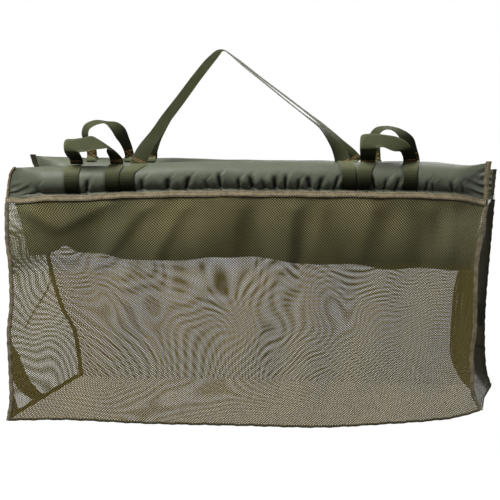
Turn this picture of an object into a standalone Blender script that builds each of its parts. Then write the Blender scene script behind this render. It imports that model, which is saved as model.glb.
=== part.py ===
"""Weigh sling: two float sleeves, a mesh bag between them, webbing handles and lifting loops.

Metres, +Z up. The origin is the hang point, where the two carrying handles meet over a hook.
+X runs along the sleeves, -Y faces the front.
"""
import math

import bmesh
import bpy
from mathutils import Matrix, Vector

MM = 0.001

# Float sleeves: coated tubes over round foam, pinched flat at both ends
SLEEVE_LENGTH = 1190 * MM
SLEEVE_RADIUS = 34 * MM
SLEEVE_PITCH = 90 * MM
SLEEVE_WALL = 1.3 * MM
HANDLE_RISE = 274 * MM
FRONT_CENTRE_X = 68 * MM
REAR_CENTRE_X = 101 * MM
END_FLAT = 12 * MM
END_FLARE = 70 * MM
END_HALF_THICKNESS = 2.4 * MM
END_RISE = 5 * MM
END_DROP = 13 * MM
TAIL_HALF_THICKNESS = 1.5 * MM
TAIL_DROP = 14 * MM
TAIL_NECK = 1 * MM
ARC_STEPS = 5
ARC_STEP_ANGLE = math.radians(30)
NECK_INNER_ANGLES = (math.radians(160), math.radians(172))
SLEEVE_BAYS = 30
FLARE_BAYS = 4
GATHER_DEPTH = 2.5 * MM
GATHER_COUNT = 15
GATHER_FIRST_ANGLE = math.radians(80)

# Foam floats inside the sleeves
FOAM_SIDES = 12
FOAM_RELIEF = 0.5 * MM
FOAM_END_CLEARANCE = 12 * MM
FOAM_ROUNDING = 9 * MM

# Gaps between cloth layers
GAP = 0.3 * MM
CLOTH = 1.2 * MM

# Mesh bag
SEAM_ALLOWANCE = 13 * MM
SEAM_OVERLAP = 2 * MM
BAG_DEPTH = 582 * MM
BOTTOM_DEPTH = 320 * MM
BOTTOM_LIFT = 45 * MM
BOTTOM_SAG = 12 * MM
DRAPE_DEPTH = 5 * MM
DRAPE_COUNT = 6
PANEL_COLUMNS = 22
DROP_SHARES = (0, 0.15, 0.3, 0.45, 0.6, 0.75, 0.9, 1)
EDGE_DRAW = 45 * MM
REAR_LEFT_DRAW = 92 * MM
REAR_RIGHT_SPREAD = 36 * MM
EDGE_MARGIN = 14 * MM
DRAPE_RAMP_SHARE = 0.12
FOLD_DEPTH = 75 * MM
GUSSET_COLUMNS = 6

# How far each upright edge is drawn in at the drop shares, as shares of its own draw
FRONT_LEFT_DRAW_SHARES = (-0.15, -0.05, 0, 0.02, -0.1, 0, 0, -0.1)
FRONT_RIGHT_DRAW_SHARES = (0.13, 0.44, 0.69, 0.8, 0.82, 1, 0.91, 0.51)
REAR_LEFT_DRAW_SHARES = (0, 0.1, 0.24, 0.38, 0.57, 0.91, 0.98, 1)
REAR_RIGHT_SPREAD_SHARES = (0, 0, 0, 0, 0.05, 0.2, 0.5, 1)
# How much the bag's bottom edges are lifted along the length: share of length, share of the lift
FRONT_LIFT_SHARES = ((0, 0.4), (0.1, 0.45), (0.3, 0.22), (0.5, 0.1), (0.65, 0), (0.8, 0.2), (0.93, 0.5), (1, 1))
REAR_LIFT_SHARES = ((0, 0.62), (0.5, 0.35), (1, 0))
# How deep the right gusset is folded inwards at the drop shares
FOLD_SHARES = (0.05, 0.3, 0.75, 0.95, 1, 1, 0.7, 0.1)

# Inner closure flap, sewn in below the front sleeve
FLAP_DROP = 165 * MM
FLAP_TOP_GAP = 0.6 * MM
FLAP_WAVE = 14 * MM
FLAP_END_SLOPE = 24 * MM
FLAP_RIGHT_INSET = 74 * MM
FLAP_ROWS = 3
FLAP_HEM_SHARES = ((0, 0.3), (0.08, 1), (0.16, 0.5), (0.3, 0.2), (0.5, 0.4), (0.7, 0.1), (1, 0))

# Tape bindings
TAPE = 1 * MM
TAPE_WIDTH = 14 * MM
EDGE_TAPE_REACH = 10 * MM
EDGE_TAPE_MARGIN = 1 * MM
SLEEVE_END_TOP_MARGIN = 4 * MM
SLEEVE_END_LOW_MARGIN = 0.8 * MM
BOTTOM_TAPE_HEIGHT = 12 * MM
CORNER_GAP = 3 * MM

# Webbing
WEB_WIDTH = 38 * MM
WEB_THICKNESS = 1.6 * MM
WEB_SIDE_GAP = 0.5 * MM
WEB_COLUMNS = 3
STRAP_OFFSET = -30 * MM
LOOP_END_INSET = 180.5 * MM
LOOP_SPACING = 107 * MM
HINGE_RISE = 1.1 * MM
LEG_START = 0.4 * MM
ANCHOR_OVER_TOP_ANGLE = math.radians(10)
ANCHOR_NECK_SHARE = 0.6

# Carrying handles, from the sleeve tops up to the hang point
HOOK_SEAT = 16 * MM
HANDLE_SIDE_GAP = 0.5 * MM
HANDLE_BASE_SHIFT = 14 * MM
HANDLE_FIRST_RISE = 34 * MM
HANDLE_STATIONS = 12
LEFT_TWIST_SHARE = 1.15
RIGHT_TWIST_SHARE = 0.34

# Small lifting loops: shares of the half spacing across, of the height up, and of the quarter twist
LOOP_HEIGHT = 92 * MM
LOOP_FORWARD_TILT = math.radians(60)
LOOP_STEPS = 3
LOOP_SHARES = (
    (-1, 0, 0),
    (-1.03, 0.12, 0.04),
    (-1.07, 0.3, 0.45),
    (-1.1, 0.52, 0.88),
    (-1.02, 0.8, 1),
    (-0.72, 0.96, 1),
    (-0.3, 1, 1),
    (0.3, 1, 1),
    (0.72, 0.96, 1),
    (1.02, 0.8, 1),
    (1.1, 0.52, 0.88),
    (1.07, 0.3, 0.45),
    (1.03, 0.12, 0.04),
    (1, 0, 0),
)

# Places that follow from the sizes above
SLEEVE_TOP_Z = -HANDLE_RISE
AXIS_Z = SLEEVE_TOP_Z - SLEEVE_RADIUS
TAIL_TOP_Z = AXIS_Z - SLEEVE_RADIUS - TAIL_NECK
TAIL_BOTTOM_Z = TAIL_TOP_Z - TAIL_DROP
PANEL_TOP_Z = TAIL_TOP_Z - SEAM_OVERLAP
PANEL_LEAN_Z = PANEL_TOP_Z - SEAM_ALLOWANCE
BAG_BOTTOM_Z = TAIL_TOP_Z - BAG_DEPTH
PANEL_LAYER = TAIL_HALF_THICKNESS + GAP
TAPE_LAYER = PANEL_LAYER + CLOTH + GAP
EDGE_LAYER = GAP + TAPE + GAP
WEB_LAYER = GAP + WEB_THICKNESS / 2
HINGE_Z = SLEEVE_TOP_Z + GAP + WEB_THICKNESS + HINGE_RISE
LEG_PITCH = WEB_WIDTH + WEB_SIDE_GAP
OUTER_LEG_SPAN = SLEEVE_LENGTH / 2 - LOOP_END_INSET
INNER_LEG_SPAN = OUTER_LEG_SPAN - LOOP_SPACING
HANDLE_HALF_SPAN = INNER_LEG_SPAN - LEG_PITCH
MARGIN_SHARE = EDGE_MARGIN / SLEEVE_LENGTH
FOAM_RADIUS = SLEEVE_RADIUS - SLEEVE_WALL - GATHER_DEPTH - FOAM_RELIEF
FOAM_HALF_LENGTH = SLEEVE_LENGTH / 2 - END_FLAT - END_FLARE - FOAM_END_CLEARANCE

# Colours: base colour and roughness
SLEEVE_CLOTH = ((0.115, 0.13, 0.095), 0.42)
WEBBING = ((0.075, 0.08, 0.045), 0.8)
MESH_CLOTH = ((0.09, 0.095, 0.045), 0.75)
FLAP_CLOTH = ((0.05, 0.055, 0.03), 0.7)
BINDING = ((0.21, 0.17, 0.11), 0.85)
DARK_BINDING = ((0.03, 0.032, 0.022), 0.8)
FOAM = ((0.72, 0.72, 0.68), 0.9)


class Side:
    """One long side of the sling: where its sleeve lies and which way is outward."""

    def __init__(self, name, outward, centre_x, draws, lifts):
        self.name = name
        self.outward = outward
        self.centre_x = centre_x
        self.left_x = centre_x - SLEEVE_LENGTH / 2
        self.right_x = centre_x + SLEEVE_LENGTH / 2
        self.axis_y = outward * SLEEVE_PITCH / 2
        self.left_draw, self.left_shares, self.right_draw, self.right_shares = draws
        self.lift_shares = lifts
        self.strap_x = centre_x + STRAP_OFFSET

    def y(self, distance):
        """World Y of a layer that far outward from the sleeve's centre plane."""
        return self.axis_y + self.outward * distance


FRONT = Side(
    "front",
    -1,
    FRONT_CENTRE_X,
    (EDGE_DRAW, FRONT_LEFT_DRAW_SHARES, EDGE_DRAW, FRONT_RIGHT_DRAW_SHARES),
    FRONT_LIFT_SHARES,
)
REAR = Side(
    "rear",
    1,
    REAR_CENTRE_X,
    (REAR_LEFT_DRAW, REAR_LEFT_DRAW_SHARES, -REAR_RIGHT_SPREAD, REAR_RIGHT_SPREAD_SHARES),
    REAR_LIFT_SHARES,
)


def clear_scene():
    for thing in list(bpy.data.objects):
        bpy.data.objects.remove(thing, do_unlink=True)


def smooth(value):
    held = min(1, max(0, value))
    return held * held * (3 - 2 * held)


def mix(low, high, share):
    return low + (high - low) * share


def read_table(table, share):
    """Value of a table of (share, value) pairs at a share, eased between its rows."""
    for (low, low_value), (high, high_value) in zip(table, table[1:]):
        if share <= high:
            return mix(low_value, high_value, smooth((share - low) / (high - low)))
    return table[-1][1]


def material_for(name, look):
    colour, roughness = look
    made = bpy.data.materials.new(name + "_material")
    made.use_nodes = True
    shader = made.node_tree.nodes["Principled BSDF"]
    shader.inputs["Base Color"].default_value = (*colour, 1)
    shader.inputs["Roughness"].default_value = roughness
    shader.inputs["Metallic"].default_value = 0
    made.diffuse_color = (*colour, 1)
    return made


def empty_at(name, place, parent=None):
    """An empty on a joint's axis, which the pieces of that body are parented to."""
    marker = bpy.data.objects.new(name, None)
    bpy.context.scene.collection.objects.link(marker)
    marker.location = place
    if parent:
        marker.parent = parent
        marker.location = Vector(place) - parent.matrix_world.translation
    bpy.context.view_layer.update()
    return marker


def make_object(name, mesh, look, body):
    mesh.materials.append(material_for(name, look))
    piece = bpy.data.objects.new(name, mesh)
    bpy.context.scene.collection.objects.link(piece)
    if body:
        piece.parent = body
        piece.matrix_parent_inverse = body.matrix_world.inverted()
    return piece


def finish_mesh(name, work, smooth_angle=None):
    bmesh.ops.recalc_face_normals(work, faces=work.faces)
    mesh = bpy.data.meshes.new(name)
    work.to_mesh(mesh)
    work.free()
    if smooth_angle:
        mesh.shade_smooth()
        mesh.set_sharp_from_angle(angle=smooth_angle)
    return mesh


def add_loft(work, rings):
    """Joins rings of points into one closed body with capped ends."""
    loops = [[work.verts.new(point) for point in ring] for ring in rings]
    count = len(loops[0])
    for near, far in zip(loops, loops[1:]):
        for k in range(count):
            work.faces.new((near[k], near[(k + 1) % count], far[(k + 1) % count], far[k]))
    work.faces.new(loops[0])
    work.faces.new(loops[-1])


def loft(name, rings, look, body):
    """A capped loft through rings of points."""
    work = bmesh.new()
    add_loft(work, rings)
    return make_object(name, finish_mesh(name, work, math.radians(40)), look, body)


def slab(name, grid, offset, look, body):
    """A sheet of cloth: a grid of points and the same grid shifted by its thickness, closed round the rim."""
    work = bmesh.new()
    face = [[work.verts.new(point) for point in row] for row in grid]
    back = [[work.verts.new(point + offset) for point in row] for row in grid]
    last_row = len(grid) - 1
    last_column = len(grid[0]) - 1
    for i in range(last_row):
        for j in range(last_column):
            for side in (face, back):
                work.faces.new((side[i][j], side[i][j + 1], side[i + 1][j + 1], side[i + 1][j]))
    rim = [(0, j) for j in range(last_column)]
    rim += [(i, last_column) for i in range(last_row)]
    rim += [(last_row, j) for j in range(last_column, 0, -1)]
    rim += [(i, 0) for i in range(last_row, 0, -1)]
    for (i, j), (k, m) in zip(rim, rim[1:] + rim[:1]):
        work.faces.new((face[i][j], face[k][m], back[k][m], back[i][j]))
    return make_object(name, finish_mesh(name, work, math.radians(40)), look, body)


def end_share(side, x):
    """How far the sleeve is pinched flat at x: 0 along its middle, 1 at its ends."""
    from_end = min(x - side.left_x, side.right_x - x)
    return 1 - smooth((from_end - END_FLAT) / END_FLARE)


def seam_shift(side, x):
    return -END_DROP * end_share(side, x)


def gather(side, x, angle):
    """Depth of the gathers that run down into the seam on the lower half of the sleeve."""
    if abs(angle) < GATHER_FIRST_ANGLE:
        return 0
    turns = GATHER_COUNT * (x - side.left_x) / SLEEVE_LENGTH
    wave = (1 - math.cos(2 * math.pi * turns)) / 2
    return GATHER_DEPTH * wave * (1 - end_share(side, x))


def sleeve_ring(side, x, inset):
    """Section of the sleeve at x, inset by the wall for its inner face: (outward distance, height) pairs."""
    pinch = end_share(side, x)
    half_depth = mix(SLEEVE_RADIUS, END_HALF_THICKNESS, pinch) - inset
    top = SLEEVE_TOP_Z + END_RISE * pinch
    bottom = AXIS_Z - SLEEVE_RADIUS - END_DROP * pinch
    middle = (top + bottom) / 2
    half_height = (top - bottom) / 2 - inset
    points = []
    for k in range(-ARC_STEPS, ARC_STEPS + 1):
        angle = k * ARC_STEP_ANGLE
        fold = gather(side, x, angle)
        points.append((
            (half_depth - fold) * math.sin(angle),
            middle + (half_height - fold) * math.cos(angle),
        ))
    if inset:
        near, low = NECK_INNER_ANGLES
        for angle in (near, low, -low, -near):
            fold = gather(side, x, angle)
            points.append((
                (half_depth - fold) * math.sin(angle),
                middle + (half_height - fold) * math.cos(angle),
            ))
    else:
        tail_top = TAIL_TOP_Z + seam_shift(side, x)
        tail_bottom = TAIL_BOTTOM_Z + seam_shift(side, x)
        points.append((TAIL_HALF_THICKNESS, tail_top))
        points.append((TAIL_HALF_THICKNESS, tail_bottom))
        points.append((-TAIL_HALF_THICKNESS, tail_bottom))
        points.append((-TAIL_HALF_THICKNESS, tail_top))
    return [Vector((x, side.y(outward), height)) for outward, height in points]


def sleeve_stations(side):
    """Places along the sleeve: close together where it flares, even along the middle."""
    flare = [END_FLAT + END_FLARE * k / FLARE_BAYS for k in range(FLARE_BAYS + 1)]
    left = [0] + flare
    span = SLEEVE_LENGTH - 2 * left[-1]
    middle = [left[-1] + span * k / SLEEVE_BAYS for k in range(1, SLEEVE_BAYS)]
    right = [SLEEVE_LENGTH - place for place in reversed(left)]
    return [side.left_x + place for place in left + middle + right]


def build_sleeve(side, body):
    """The coated sleeve: a tube with a wall, open as a slit at both pinched ends, with a sewn tail below."""
    name = side.name + "_float_sleeve"
    work = bmesh.new()
    stations = sleeve_stations(side)
    skins = []
    for inset in (0, SLEEVE_WALL):
        skins.append([[work.verts.new(point) for point in sleeve_ring(side, x, inset)] for x in stations])
    outer, inner = skins
    count = len(outer[0])
    for skin in skins:
        for near, far in zip(skin, skin[1:]):
            for k in range(count):
                work.faces.new((near[k], near[(k + 1) % count], far[(k + 1) % count], far[k]))
    for end in (0, -1):
        for k in range(count):
            nxt = (k + 1) % count
            work.faces.new((outer[end][k], outer[end][nxt], inner[end][nxt], inner[end][k]))
    return make_object(name, finish_mesh(name, work, math.radians(50)), SLEEVE_CLOTH, body)


def build_foam(side, body):
    """Round foam bar inside the sleeve, with rounded ends."""
    ends = (
        (FOAM_HALF_LENGTH, FOAM_RADIUS - FOAM_ROUNDING),
        (FOAM_HALF_LENGTH - FOAM_ROUNDING, FOAM_RADIUS),
    )
    stations = [(-place, radius) for place, radius in ends]
    stations += [(place, radius) for place, radius in reversed(ends)]
    rings = []
    for place, radius in stations:
        ring = []
        for k in range(FOAM_SIDES):
            angle = 2 * math.pi * k / FOAM_SIDES
            offset = Vector((0, radius * math.sin(angle), radius * math.cos(angle)))
            ring.append(Vector((side.centre_x + place, side.axis_y, AXIS_Z)) + offset)
        rings.append(ring)
    loft(side.name + "_foam_float", rings, FOAM, body)


def edge_x(side, row, right):
    """X of an upright edge of the bag at one of the drop shares."""
    if right:
        return side.right_x - side.right_draw * side.right_shares[row]
    return side.left_x + side.left_draw * side.left_shares[row]


def bottom_z(side, share):
    """Height of a side's bottom edge, level in the flat margins at its ends."""
    held = min(max(share, MARGIN_SHARE), 1 - MARGIN_SHARE)
    return BAG_BOTTOM_Z + BOTTOM_LIFT * read_table(side.lift_shares, held)


def lean(drop_share):
    """How far outward the panel stands from its top seam at a drop share."""
    return (BOTTOM_DEPTH - SLEEVE_PITCH) / 2 * drop_share


def drape(side, share, drop_share):
    """Soft upright folds in a hanging panel, none in the flat margins at its edges."""
    ramp = smooth((min(share, 1 - share) - MARGIN_SHARE) / DRAPE_RAMP_SHARE)
    hang = math.sin(math.pi * drop_share)
    wave = math.cos(2 * math.pi * DRAPE_COUNT * share + side.outward)
    return DRAPE_DEPTH * ramp * hang * wave


def panel_shares():
    """Shares of the panel's length where its columns lie, with a flat margin at each edge."""
    inner = [mix(MARGIN_SHARE, 1 - MARGIN_SHARE, k / PANEL_COLUMNS) for k in range(PANEL_COLUMNS + 1)]
    return [0] + inner + [1]


def seam_x(side, share):
    """X on the seam line at a share of the panel's top edge, held to the sleeve's length."""
    x = mix(edge_x(side, 0, False), edge_x(side, 0, True), share)
    return min(max(x, side.left_x), side.right_x)


def panel_place(side, share, row):
    """Point on the inner face of the panel. Row -1 is the top edge under the tape."""
    shown_row = max(row, 0)
    x = mix(edge_x(side, shown_row, False), edge_x(side, shown_row, True), share)
    drop_share = DROP_SHARES[shown_row]
    shift = seam_shift(side, seam_x(side, share))
    if row < 0:
        return Vector((x, side.y(PANEL_LAYER), PANEL_TOP_Z + shift))
    z = mix(PANEL_LEAN_Z + shift, bottom_z(side, share), drop_share)
    outward = PANEL_LAYER + lean(drop_share) + drape(side, share, drop_share)
    return Vector((x, side.y(outward), z))


def build_panel(side, body):
    rows = range(-1, len(DROP_SHARES))
    grid = [[panel_place(side, share, row) for share in panel_shares()] for row in rows]
    offset = Vector((0, side.outward * CLOTH, 0))
    slab(side.name + "_mesh_panel", grid, offset, MESH_CLOTH, body)


def build_seam_binding(side, body):
    """Folded tape over the seam, lying on the panel's top margin."""
    rings = []
    for share in panel_shares():
        x = mix(edge_x(side, 0, False), edge_x(side, 0, True), share)
        top = TAIL_TOP_Z + seam_shift(side, seam_x(side, share))
        low = top - TAPE_WIDTH
        near = side.y(TAPE_LAYER)
        far = side.y(TAPE_LAYER + TAPE)
        rings.append([Vector((x, near, top)), Vector((x, far, top)), Vector((x, far, low)), Vector((x, near, low))])
    loft(side.name + "_seam_binding", rings, BINDING, body)


def channel_section(slot_half, inward):
    """U of folded tape round an edge: (along the cloth from the edge, across the cloth) pairs."""
    outer = slot_half + TAPE
    return [
        (inward * EDGE_TAPE_REACH, -outer),
        (-inward * (EDGE_TAPE_MARGIN + TAPE), -outer),
        (-inward * (EDGE_TAPE_MARGIN + TAPE), outer),
        (inward * EDGE_TAPE_REACH, outer),
        (inward * EDGE_TAPE_REACH, slot_half),
        (-inward * EDGE_TAPE_MARGIN, slot_half),
        (-inward * EDGE_TAPE_MARGIN, -slot_half),
        (inward * EDGE_TAPE_REACH, -slot_half),
    ]


def build_edge_binding(side, right, body):
    """Folded tape round an upright edge of the mesh panel, from below the seam tape to the bottom."""
    inward = -1 if right else 1
    slot_half = CLOTH / 2 + GAP
    rings = []
    for row in range(len(DROP_SHARES)):
        place = panel_place(side, 1 if right else 0, row)
        middle_y = place.y + side.outward * CLOTH / 2
        section = channel_section(slot_half, inward)
        rings.append([Vector((place.x + along, middle_y + across, place.z)) for along, across in section])
    where = "right" if right else "left"
    loft(side.name + "_" + where + "_edge_binding", rings, BINDING if side is FRONT else DARK_BINDING, body)


def build_sleeve_end_binding(side, right, body):
    """Folded tape round the flattened end of a sleeve, from above its seam to its upper corner."""
    inward = -1 if right else 1
    x = side.right_x if right else side.left_x
    slot_half = END_HALF_THICKNESS + GAP
    top = SLEEVE_TOP_Z + END_RISE - SLEEVE_END_TOP_MARGIN
    low = TAIL_TOP_Z - END_DROP + SLEEVE_END_LOW_MARGIN
    section = channel_section(slot_half, inward)
    rings = []
    for z in (low, top):
        rings.append([Vector((x + along, side.axis_y + across, z)) for along, across in section])
    where = "right" if right else "left"
    loft(side.name + "_" + where + "_sleeve_end_binding", rings, DARK_BINDING, body)


def gusset_edge(side, row, right):
    """Point on the gusset's edge, just inside the tape that binds it. Its lowest row stands on the bottom."""
    share = 1 if right else 0
    place = panel_place(side, share, row)
    if row == len(DROP_SHARES) - 1:
        above = panel_place(side, share, row - 1)
        place = place.lerp(above, (CLOTH + GAP) / (above.z - place.z))
    place.y -= side.outward * EDGE_LAYER
    return place


def build_gusset(right, body):
    """End wall of the bag. The left one is stretched flat, the right one is folded inwards."""
    grid = []
    for row in range(len(DROP_SHARES)):
        front = gusset_edge(FRONT, row, right)
        rear = gusset_edge(REAR, row, right)
        line = []
        for k in range(GUSSET_COLUMNS + 1):
            share = k / GUSSET_COLUMNS
            place = front.lerp(rear, share)
            if right:
                place.x -= FOLD_DEPTH * FOLD_SHARES[row] * (1 - abs(2 * share - 1))
            line.append(place)
        grid.append(line)
    inward = -1 if right else 1
    offset = Vector((inward * CLOTH, 0, 0))
    slab(("right" if right else "left") + "_end_gusset", grid, offset, MESH_CLOTH, body)


def bottom_corner(side, right):
    """Corner of the gusset's bottom edge."""
    return gusset_edge(side, len(DROP_SHARES) - 1, right)


def bottom_row_x(share, right):
    """X of the outer face of a gusset's bottom edge at a share of the bag's depth."""
    front = bottom_corner(FRONT, right)
    rear = bottom_corner(REAR, right)
    fold = 0
    if right:
        low = int(share * GUSSET_COLUMNS)
        near = min(low, GUSSET_COLUMNS - 1)
        part = share * GUSSET_COLUMNS - near
        ends = [1 - abs(2 * (near + k) / GUSSET_COLUMNS - 1) for k in (0, 1)]
        fold = FOLD_DEPTH * FOLD_SHARES[-1] * mix(ends[0], ends[1], part)
    return mix(front.x, rear.x, share) - fold


def build_bottom(body):
    """Bottom panel between the lower edges of the four walls, sagging a little in the middle."""
    grid = []
    for k in range(GUSSET_COLUMNS + 1):
        depth_share = k / GUSSET_COLUMNS
        line = []
        for share in panel_shares():
            front = panel_place(FRONT, share, len(DROP_SHARES) - 1)
            rear = panel_place(REAR, share, len(DROP_SHARES) - 1)
            front_y = front.y + EDGE_LAYER
            rear_y = rear.y - EDGE_LAYER
            left_x = bottom_row_x(depth_share, False)
            right_x = bottom_row_x(depth_share, True)
            sag = BOTTOM_SAG * math.sin(math.pi * depth_share) * math.sin(math.pi * share)
            z = mix(front.z, rear.z, depth_share) - sag
            place = Vector((mix(left_x, right_x, share), mix(front_y, rear_y, depth_share), z))
            line.append(place)
        grid.append(line)
    slab("bottom_mesh_panel", grid, Vector((0, 0, CLOTH)), MESH_CLOTH, body)


def build_bottom_binding(right, body):
    """Tape along the bottom edge of a gusset, on its outer face."""
    outward = 1 if right else -1
    front = bottom_corner(FRONT, right)
    rear = bottom_corner(REAR, right)
    span = (rear - front).length
    near_share = CORNER_GAP / span
    shares = [near_share] + [k / GUSSET_COLUMNS for k in range(1, GUSSET_COLUMNS)] + [1 - near_share]
    rings = []
    for share in shares:
        place = front.lerp(rear, share)
        near = bottom_row_x(share, right) + outward * GAP
        far = near + outward * TAPE
        low = place.z - CLOTH - GAP
        top = low + BOTTOM_TAPE_HEIGHT
        rings.append([
            Vector((near, place.y, low)),
            Vector((far, place.y, low)),
            Vector((far, place.y, top)),
            Vector((near, place.y, top)),
        ])
    loft(("right" if right else "left") + "_bottom_binding", rings, DARK_BINDING, body)


def build_flap(body):
    """Closure flap that hangs inside, behind the front panel, from just under the seam."""
    start = FRONT.left_x + END_FLAT
    end = FRONT.right_x - FLAP_RIGHT_INSET
    stations = [x for x in sleeve_stations(FRONT) if start <= x <= end]
    grid = []
    for i in range(FLAP_ROWS + 1):
        fall = i / FLAP_ROWS
        line = []
        for x in stations:
            share = (x - stations[0]) / (stations[-1] - stations[0])
            length = FLAP_DROP - FLAP_WAVE * read_table(FLAP_HEM_SHARES, share)
            top = TAIL_BOTTOM_Z - FLAP_TOP_GAP + seam_shift(FRONT, x)
            slope = FLAP_END_SLOPE * fall * (1 - share)
            line.append(Vector((x + slope, FRONT.y(CLOTH / 2), top - length * fall)))
        grid.append(line)
    slab("inner_closure_flap", grid, Vector((0, CLOTH, 0)), FLAP_CLOTH, body)


class WebSection:
    """Section of webbing at a point: a line of points across each of its two faces."""

    def __init__(self, centre, along, across):
        tangent = along.normalized()
        wide = (across - tangent * across.dot(tangent)).normalized()
        half_thickness = wide.cross(tangent) * WEB_THICKNESS / 2
        spread = [wide * WEB_WIDTH * (k / WEB_COLUMNS - 0.5) for k in range(WEB_COLUMNS + 1)]
        self.front = [centre + reach + half_thickness for reach in spread]
        self.back = [centre + reach - half_thickness for reach in spread]


def web_strap(name, sections, body):
    """Webbing through its sections. Both faces are split along the same diagonals, so a twist keeps its thickness."""
    work = bmesh.new()
    front = [[work.verts.new(point) for point in section.front] for section in sections]
    back = [[work.verts.new(point) for point in section.back] for section in sections]
    for i in range(len(sections) - 1):
        for k in range(WEB_COLUMNS):
            for face in (front, back):
                work.faces.new((face[i][k], face[i][k + 1], face[i + 1][k + 1]))
                work.faces.new((face[i][k], face[i + 1][k + 1], face[i + 1][k]))
        for k in (0, -1):
            work.faces.new((front[i][k], back[i][k], back[i + 1][k]))
            work.faces.new((front[i][k], back[i + 1][k], front[i + 1][k]))
    for end in (0, -1):
        work.faces.new(front[end] + back[end][::-1])
    return make_object(name, finish_mesh(name, work, math.radians(40)), WEBBING, body)


def runs_between(places):
    """Direction of travel at each of a line of places, from its neighbours."""
    before = places[:1] + places[:-1]
    after = places[1:] + places[-1:]
    return [far - near for near, far in zip(before, after)]


def anchor_sections(side, x):
    """A webbing leg that follows the outside of the sleeve from over its top down to the seam tape."""
    reach = SLEEVE_RADIUS + WEB_LAYER
    angles = [-ANCHOR_OVER_TOP_ANGLE] + [k * ARC_STEP_ANGLE for k in range(ARC_STEPS + 1)]
    path = [Vector((0, reach * math.sin(angle), AXIS_Z + reach * math.cos(angle))) for angle in angles]
    last = angles[-1]
    neck = Vector((0, SLEEVE_RADIUS * math.sin(last), AXIS_Z + SLEEVE_RADIUS * math.cos(last)))
    tail = Vector((0, TAIL_HALF_THICKNESS, TAIL_TOP_Z))
    slope = (tail - neck).normalized()
    away = Vector((0, -slope.z, slope.y))
    path.append(neck.lerp(tail, ANCHOR_NECK_SHARE) + away * WEB_LAYER)
    places = [Vector((x, side.y(point.y), point.z)) for point in path]
    return [WebSection(place, run, Vector((1, 0, 0))) for place, run in zip(places, runs_between(places))]


def leg_places(side):
    """X of the webbing legs: the handle's, then the left loop's and the right loop's."""
    handle = [side.strap_x - HANDLE_HALF_SPAN, side.strap_x + HANDLE_HALF_SPAN]
    left = [side.strap_x - OUTER_LEG_SPAN, side.strap_x - INNER_LEG_SPAN]
    right = [side.strap_x + INNER_LEG_SPAN, side.strap_x + OUTER_LEG_SPAN]
    return handle, left, right


def build_anchors(side, body):
    handle, left, right = leg_places(side)
    groups = (("handle", handle), ("left_loop", left), ("right_loop", right))
    for what, places in groups:
        for where, x in zip(("left", "right"), places):
            name = side.name + "_" + what + "_" + where + "_leg"
            web_strap(name, anchor_sections(side, x), body)


def twisted_section(place, along, twist, depth):
    """Webbing section turned about its own length: its face looks along depth at twist 0 and away from it at 1."""
    angle = twist * math.pi / 2
    face = along.normalized().cross(depth).normalized()
    across = face * math.cos(angle) + depth * math.sin(angle)
    return WebSection(place, along, across)


def eased(before, near, far, after, share):
    """Point between near and far on a smooth curve through four points."""
    pull = (far - before) * share + (2 * before - 5 * near + 4 * far - after) * share ** 2
    return near + (pull + (3 * near - before - 3 * far + after) * share ** 3) / 2


def loop_curve():
    """The loop's shares with steps between its rows: eased up the legs, straight along the level seat at the top."""
    rows = [Vector(row) for row in LOOP_SHARES]
    padded = rows[:1] + rows + rows[-1:]
    curve = []
    for before, near, far, after in zip(padded, padded[1:], padded[2:], padded[3:]):
        for k in range(LOOP_STEPS):
            share = k / LOOP_STEPS
            level = near.y == far.y
            curve.append(near.lerp(far, share) if level else eased(before, near, far, after, share))
    return curve + rows[-1:]


def build_loop(side, name, places, body):
    """Small lifting loop: each leg makes a quarter twist, so that the top run lies flat."""
    middle = sum(places) / 2
    half = (places[1] - places[0]) / 2
    tilt = LOOP_FORWARD_TILT if side is FRONT else 0
    hinge = Vector((middle, side.axis_y, HINGE_Z))
    curve = loop_curve()
    upright = [Vector((half * across, 0, LOOP_HEIGHT * up)) for across, up, _ in curve]
    for foot in (upright[0], upright[-1]):
        foot.z -= LEG_START
    runs = runs_between(upright)
    runs[0] = Vector((0, 0, 1))
    runs[-1] = -runs[0]
    turn = Matrix.Translation(hinge) @ Matrix.Rotation(tilt, 4, "X")
    sections = [
        twisted_section(turn @ place, turn.to_3x3() @ run, twist, turn.to_3x3() @ Vector((0, 1, 0)))
        for place, run, (_, _, twist) in zip(upright, runs, curve)
    ]
    web_strap(name, sections, body)


def handle_leg(side, base_x, seat_x, seat_y, twist_share):
    """Stations up one leg of a carrying handle, from the sleeve top to the flat seat over the hook."""
    base = Vector((base_x, side.axis_y, HINGE_Z - LEG_START))
    seat = Vector((seat_x, seat_y, 0))
    shift = HANDLE_BASE_SHIFT if seat_x > base_x else -HANDLE_BASE_SHIFT
    foot = Vector((base_x + shift, side.axis_y, HINGE_Z))
    run = seat - foot
    first = HANDLE_FIRST_RISE / run.length
    places = [foot + run * mix(first, 1, k / HANDLE_STATIONS) for k in range(HANDLE_STATIONS)]
    stations = [(base, Vector((0, 0, 1)), 0)]
    for place in places:
        done = (place - foot).length / run.length
        stations.append((place, run, smooth(done / twist_share)))
    return stations


def build_handle(side, body):
    """Carrying handle: two straight twisting legs and a short flat seat at the hang point."""
    seat_y = side.outward * (WEB_WIDTH + HANDLE_SIDE_GAP) / 2
    half_seat = HOOK_SEAT / 2
    (left_x, right_x), _, _ = leg_places(side)
    left = handle_leg(side, left_x, -half_seat, seat_y, LEFT_TWIST_SHARE)
    right = handle_leg(side, right_x, half_seat, seat_y, RIGHT_TWIST_SHARE)
    stations = list(left)
    for x in (-half_seat, half_seat):
        stations.append((Vector((x, seat_y, 0)), Vector((1, 0, 0)), 1))
    for place, along, twist in reversed(right):
        stations.append((place, -along, twist))
    depth = Vector((0, 1, 0))
    sections = [twisted_section(place, along, twist, depth) for place, along, twist in stations]
    web_strap(side.name + "_handle", sections, body)


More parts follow.
